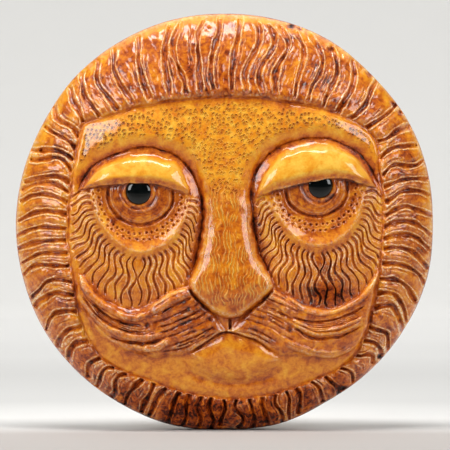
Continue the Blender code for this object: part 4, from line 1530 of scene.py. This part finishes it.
@dataclass(frozen=True)
class Plaque:
    """The glazed disc: carved front, flat back border, hollow, hanging rib and seats.

    Lengths are in metres, but for the deepest carving, which is in shares.

    Attributes:
        wall: the clay left over the hollow where the carving is deepest.
        deepest_carving: how far the carving goes under the plain disc.
        back_border: width of the flat border behind.
        draft: how much the hollow narrows towards its roof.
        margin: how far the cutting shapes stand past the clay.
        cells: cells each way in the fine grid that the front is worked out on.
        triangles: what the front keeps once flat places are thinned.
    """
    carving: Carving
    pooling: Pooling = Pooling()
    wall: float = 0.006
    deepest_carving: float = 4.5
    back_border: float = 0.022
    draft: float = 0.006
    rib_height: float = 0.024
    notch_radius: float = 0.006
    notch_depth: float = 0.022
    margin: float = 0.010
    cells: int = 940
    quick_cells: int = 520
    triangles: int = 186000

    def world(self, u: Array, v: Array, out: Array) -> Array:
        """Shares across, up and out to the frame's metres."""
        disc = self.carving.disc
        across = disc.share * self.carving.outline.pull(u, v)
        return np.stack([u * across, -out * disc.share, v * across - disc.centre_drop], -1)

    def front(self, cells: int) -> tuple[Array, Array, Array]:
        """Work out the carved front on a square grid drawn out to a disc.

        Returns:
            The places across and up, and the heights, each a square array.
        """
        step = np.linspace(-1, 1, cells + 1)
        u, v = square_to_disc(*np.meshgrid(step, step))
        height = self.carving.height(u.ravel(), v.ravel()).reshape(u.shape)
        return u, v, height

    def slab(self, u: Array, v: Array, height: Array) -> bpy.types.Mesh:
        """Close the front with a deep foot and a fan across it."""
        cells = len(u) - 1
        index = np.arange((cells + 1)**2).reshape(cells + 1, cells + 1)
        top = self.world(u, v, height).reshape(-1, 3)
        quads = np.stack([index[:-1, :-1], index[:-1, 1:], index[1:, 1:], index[1:, :-1]], -1).reshape(-1, 4)
        rim = np.concatenate([index[0, :-1], index[:-1, -1], index[-1, :0:-1], index[:0:-1, 0]])
        foot = top[rim].copy()
        foot[:, 1] = self.margin
        below = len(top) + np.arange(len(rim))
        after = np.roll(rim, -1)
        below_after = np.roll(below, -1)
        sides = np.stack([rim, below, below_after, after], 1)
        hub = len(top) + len(rim)
        centre = np.array([[0, self.margin, -self.carving.disc.centre_drop]])
        fan = np.stack([below, np.full(len(rim), hub), below_after], 1)
        return new_mesh("plaque_glazed", np.vstack([top, foot, centre]), quads, sides, fan)

    def cutter(self, pupils: Sequence["Pupil"]) -> bpy.types.Object:
        """Space to take away: the hollow but for its rib, the nail notch and the seats."""
        disc = self.carving.disc
        centre = (0, 0, -disc.centre_drop)
        hollow_radius = disc.diameter / 2 - self.back_border
        radii = (hollow_radius - self.draft) * np.sqrt(np.linspace(0, 1, 20))
        roof = disc.swell(radii / disc.share) * disc.share - self.wall - self.deepest_carving * disc.share
        ceiling = [(radius, level) for radius, level in zip(radii, roof)]
        wide = disc.diameter / 2 + self.margin
        under = -3 * self.margin
        profile = ceiling + [(hollow_radius, 0), (wide, 0), (wide, under), (0, under)]
        space = add_object("space", new_mesh("space", *turned(profile, centre, 128)))
        half = self.rib_height / 2
        rib = add_object("rib", new_mesh("rib", *box(
            (-disc.diameter / 2, -disc.crown_height, -half), (disc.diameter / 2, 0, half))))
        boolean(space, rib, Shaping.CUTS)
        bore, deep, behind = self.notch_radius, self.notch_depth, -self.margin
        notch_profile = [(0, deep), (bore, deep), (bore, behind), (0, behind)]
        notch = add_object("notch", new_mesh("notch", *turned(notch_profile, (0, 0, -half), 48)))
        boolean(space, notch, Shaping.JOINS)
        settle(space)
        seats = [add_object("seat", new_mesh("seat", *pupil.seat())) for pupil in pupils]
        for seat in seats:
            boolean(space, seat, Shaping.JOINS)
        settle(space)
        for used in (rib, notch, *seats):
            bpy.data.meshes.remove(used.data)
        return space

    def dress(self, mesh: bpy.types.Mesh, height: Array) -> None:
        """Keep on each vertex how the glaze lies there.

        The pool nears 1 as exp(-depth) nears 0, and the scraping grows evenly with rise.
        In wide hollows the pool is painted shade, the pale scraped edges are partly painted
        highlights, and the warmth holds the painted shade and light of the tones.
        """
        flow = self.pooling
        disc = self.carving.disc
        place = vertex_places(mesh)
        u, v = self.carving.outline.undone(
            place[:, 0] / disc.share, (place[:, 2] + disc.centre_drop) / disc.share)
        out = -place[:, 1] / disc.share
        cells = len(height) - 1
        share_cells = cells / 200
        fine = height - blurred(height, flow.fine * share_cells)
        broad = height - blurred(height, flow.broad * share_cells)
        x, y = disc_to_square(u, v)
        column = (x + 1) / 2 * cells
        row = (y + 1) / 2 * cells
        near_column = np.clip(np.floor(column).astype(int), 0, cells - 1)
        near_row = np.clip(np.floor(row).astype(int), 0, cells - 1)
        s = column - near_column
        t = row - near_row

        def read(image: Array) -> Array:
            """Read an image between its four nearest cells."""
            low = image[near_row, near_column] * (1 - s) + image[near_row, near_column + 1] * s
            high = image[near_row + 1, near_column] * (1 - s) + image[near_row + 1, near_column + 1] * s
            return low * (1 - t) + high * t

        narrow = flow.fine_rate * np.clip(read(fine), None, 0)
        # Painted shade: darker in wide hollows.
        wide = flow.broad_rate * np.clip(read(broad), None, 0)
        pool_and_shade = 1 - np.exp(narrow + wide)
        pool_and_shade *= 1 - flow.mane * ease(1, -1, self.carving.face.depth(u, v))
        # Pale edges: thin glaze, partly painted highlights.
        scraped_and_sheen = np.clip(read(fine) / flow.edge_rise - flow.edge_start, 0, 1)
        for eye in self.carving.eyes:
            scraped_and_sheen *= 1 - flow.lid * eye.lid(u, v)[0]
        for wing in self.carving.wings:
            scraped_and_sheen *= 1 - flow.moustache * ease(-1, 2, wing.distance(u, v))
        hollow = (read(height) - out > flow.shell) & (np.hypot(u, v) < flow.rim)
        bare = np.where(hollow | (out < 0.5), 1.0, 0.0)
        pecked, combed = self.carving.tooling(u, v)
        glazed = {"pool_and_shade": np.clip(pool_and_shade, 0, 1), "scraped_and_sheen": scraped_and_sheen, "pecked": pecked, "combed": combed}
        for name, values in glazed.items():
            set_attribute(mesh, name, values * (1 - bare))
        set_attribute(mesh, "warmth_light_and_shade", self.carving.warmth_light_and_shade(u, v))
        set_attribute(mesh, "bare", bare)

    def build(self, pupils: Sequence["Pupil"], material: bpy.types.Material) -> bpy.types.Object:
        """Make the piece, thin it, cut its back and seats, and dress it."""
        u, v, height = self.front(self.cells)
        log.info("front worked out, up to %.1f shares", height.max())
        item = add_object("plaque_glazed", self.slab(u, v, height))
        thin = item.modifiers.new("Thin", "DECIMATE")
        thin.ratio = self.triangles / (2 * self.cells**2)
        settle(item)
        space = self.cutter(pupils)
        boolean(item, space, Shaping.CUTS)
        settle(item)
        bpy.data.meshes.remove(space.data)
        self.dress(item.data, height)
        dress_in(item, material)
        return item


@dataclass(frozen=True)
class Pupil:
    """Glass cabochon in one eye: a low dome over a straight girdle and a flat back.

    Attributes:
        node: the CAD node that it stands for, which gives its place.
        edge: width of the bevel round the girdle.
        sharpest: angle from which an edge is bevelled, in degrees.
    """
    node: str
    diameter: float = 0.0180
    rise: float = 0.0032
    girdle: float = 0.0026
    clearance: float = 0.0003
    edge: float = 0.0003
    sharpest: float = 60.0
    steps: int = 72
    rings: int = 12

    def centre(self) -> Place:
        """Centre of the girdle's front, from the node's box."""
        low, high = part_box(self.node)
        return (low.x + high.x) / 2, high.y - self.girdle, (low.z + high.z) / 2

    def surface(self, spare: float) -> tuple[Array, Array]:
        """Turned dome (r sin a, h cos a) over a girdle, grown by a spare gap."""
        radius = self.diameter / 2 + spare
        rise = self.rise + spare
        turn = np.linspace(0, math.pi / 2, self.rings + 1)
        dome = [(radius * math.sin(a), rise * math.cos(a)) for a in turn]
        under = -self.girdle - spare
        profile = [(0, rise)] + dome[1:] + [(radius, under), (0, under)]
        return turned(profile, self.centre(), self.steps)

    def seat(self) -> tuple[Array, Array]:
        """The pupil's seat in the clay, a clearance larger all round."""
        return self.surface(self.clearance)

    def build(self, material: bpy.types.Material) -> bpy.types.Object:
        """Make the polished piece."""
        item = add_object(self.node + "_glass", new_mesh(self.node + "_glass", *self.surface(0)))
        bevel = item.modifiers.new("Girdle", "BEVEL")
        bevel.width = self.edge
        bevel.segments = 2
        bevel.angle_limit = math.radians(self.sharpest)
        settle(item)
        dress_in(item, material)
        return item


# The studio

@dataclass(frozen=True)
class Softbox:
    """One soft white light: where it stands, what it looks at, its size and power."""
    name: str
    place: Place
    target: Place
    size: tuple[float, float]
    watts: float

    def build(self) -> None:
        """Add the light, turned to its target."""
        lamp = bpy.data.lights.new(self.name, "AREA")
        lamp.shape = "RECTANGLE"
        lamp.size, lamp.size_y = self.size
        lamp.energy = self.watts
        item = add_object(self.name, lamp)
        item.location = self.place
        item.visible_camera = False
        item.rotation_euler = (Vector(self.target) - Vector(self.place)).to_track_quat("-Z", "Y").to_euler()


@dataclass(frozen=True)
class Cove:
    """Round paper cove: a flat floor that curves up into a wall beyond every view.

    Attributes:
        middle: radius of the one face that closes the middle of the floor, in metres.
        flat: radius of the flat floor.
        bend: radius of the curve between floor and wall.
        rise: height of the wall's top over the floor.
        steps: how many faces go round.
        arc_steps: how many points the curve has.
    """
    middle: float = 0.5
    flat: float = 3.3
    bend: float = 2.2
    rise: float = 3.5
    steps: int = 96
    arc_steps: int = 25

    def build(self, floor: float, material: bpy.types.Material) -> None:
        """Turn a flat run, a quarter circle and a straight rise about the upright axis."""
        arc = np.linspace(0, math.pi / 2, self.arc_steps)
        wall = self.flat + self.bend
        radius = np.concatenate([[self.middle], self.flat + self.bend * np.sin(arc), [wall]])[:, None]
        height = np.concatenate([[0.0], self.bend * (1 - np.cos(arc)), [self.rise]]) + floor
        step = np.arange(self.steps)
        turn = step * 2 * math.pi / self.steps
        level = np.repeat(height[:, None], self.steps, 1)
        points = np.stack([radius * np.cos(turn), radius * np.sin(turn), level], 2).reshape(-1, 3)
        ring = np.arange(len(radius) - 1)[:, None] * self.steps
        here = ring + step
        after = ring + (step + 1) % self.steps
        faces = np.stack([here, after, after + self.steps, here + self.steps], 2)
        mesh = new_mesh("paper_cove", points, step[None], faces.reshape(-1, 4)[:, ::-1])
        item = add_object("paper_cove", mesh)
        dress_in(item, material)
        item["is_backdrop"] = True


@dataclass(frozen=True)
class Studio:
    """Pale paper cove, soft lights and the level camera in front.

    Attributes:
        distance: from the camera to the rim.
        width: what the picture shows across, at the rim.
        aim: the point in the picture's middle, across and up.
        rim_depth: how far the rim stands out from the wall.
        clear: nearest and farthest that the camera sees.
        air: colour of the light from all round, with its strength.
    """
    distance: float = 2.2
    width: float = 0.3195
    aim: tuple[float, float] = (-0.0007, -0.0727)
    rim_depth: float = 0.010
    clear: tuple[float, float] = (0.1, 20.0)
    cove: Cove = Cove()
    softboxes: tuple[Softbox, ...] = (
        Softbox("left_softbox", (-1.3, -1.05, 0.7), (0.0, 0.0, -0.07), (0.85, 1.1), 22.0),
        Softbox("right_softbox", (1.3, -1.05, 0.65), (0.0, 0.0, -0.07), (0.85, 1.1), 18.0),
        Softbox("top_softbox", (-0.1, -0.38, 1.35), (0.0, 0.0, -0.1), (1.0, 0.4), 16.0),
        Softbox("floor_softbox", (0.0, 1.2, 1.8), (0.0, 1.1, -0.2), (3.0, 2.4), 21.0),
        Softbox("wall_softbox", (0.0, 2.6, 2.2), (0.0, 4.4, 0.2), (4.0, 0.8), 80.0),
    )
    air: str = "#F2F4F8"
    air_strength: float = 0.05

    def build(self, floor: float) -> None:
        """Set the paper, the lights, the air and the camera."""
        scene = bpy.context.scene
        self.cove.build(floor, CovePaper().material())
        for softbox in self.softboxes:
            softbox.build()
        world = bpy.data.worlds.new("studio_air")
        world.use_nodes = True
        air = world.node_tree.nodes["Background"]
        air.inputs["Color"].default_value = linear(self.air)
        air.inputs["Strength"].default_value = self.air_strength
        scene.world = world
        lens = bpy.data.cameras.new("camera")
        lens.lens = lens.sensor_width * self.distance / self.width
        lens.clip_start, lens.clip_end = self.clear
        camera = add_object("camera", lens)
        camera.location = (self.aim[0], -self.rim_depth - self.distance, self.aim[1])
        camera.rotation_euler = (math.pi / 2, 0, 0)
        scene.camera = camera
        scene.view_settings.view_transform = "Standard"


def lowest(item: bpy.types.Object) -> float:
    """Height of a piece's lowest point, where it meets the paper."""
    return float(vertex_places(item.data)[:, 2].min())


def corners(bounds: tuple[Vector, Vector]) -> list[list[float]]:
    """A box's two corners as plain lists."""
    return [list(corner) for corner in bounds]


def main() -> None:
    """Build the plaque, its pupils and the studio round the frame."""
    logging.basicConfig(level=logging.INFO, format="%(message)s")
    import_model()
    cad_box = corners(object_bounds())
    glass = PupilGlass().material()
    pupils = (Pupil("left_pupil"), Pupil("right_pupil"))
    plaque = Plaque(Carving())
    body = plaque.build(pupils, HoneyGlaze().material())
    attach(body, "root")
    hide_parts("plaque")
    log.info("%s: %d faces", body.name, len(body.data.polygons))
    for pupil in pupils:
        piece = pupil.build(glass)
        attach(piece, "root")
        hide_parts(pupil.node)
        log.info("%s: %d faces", piece.name, len(piece.data.polygons))
    Studio().build(lowest(body))
    sizes = {"cad": cad_box, "visual": corners(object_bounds())}


if __name__ == "__main__":
    main()
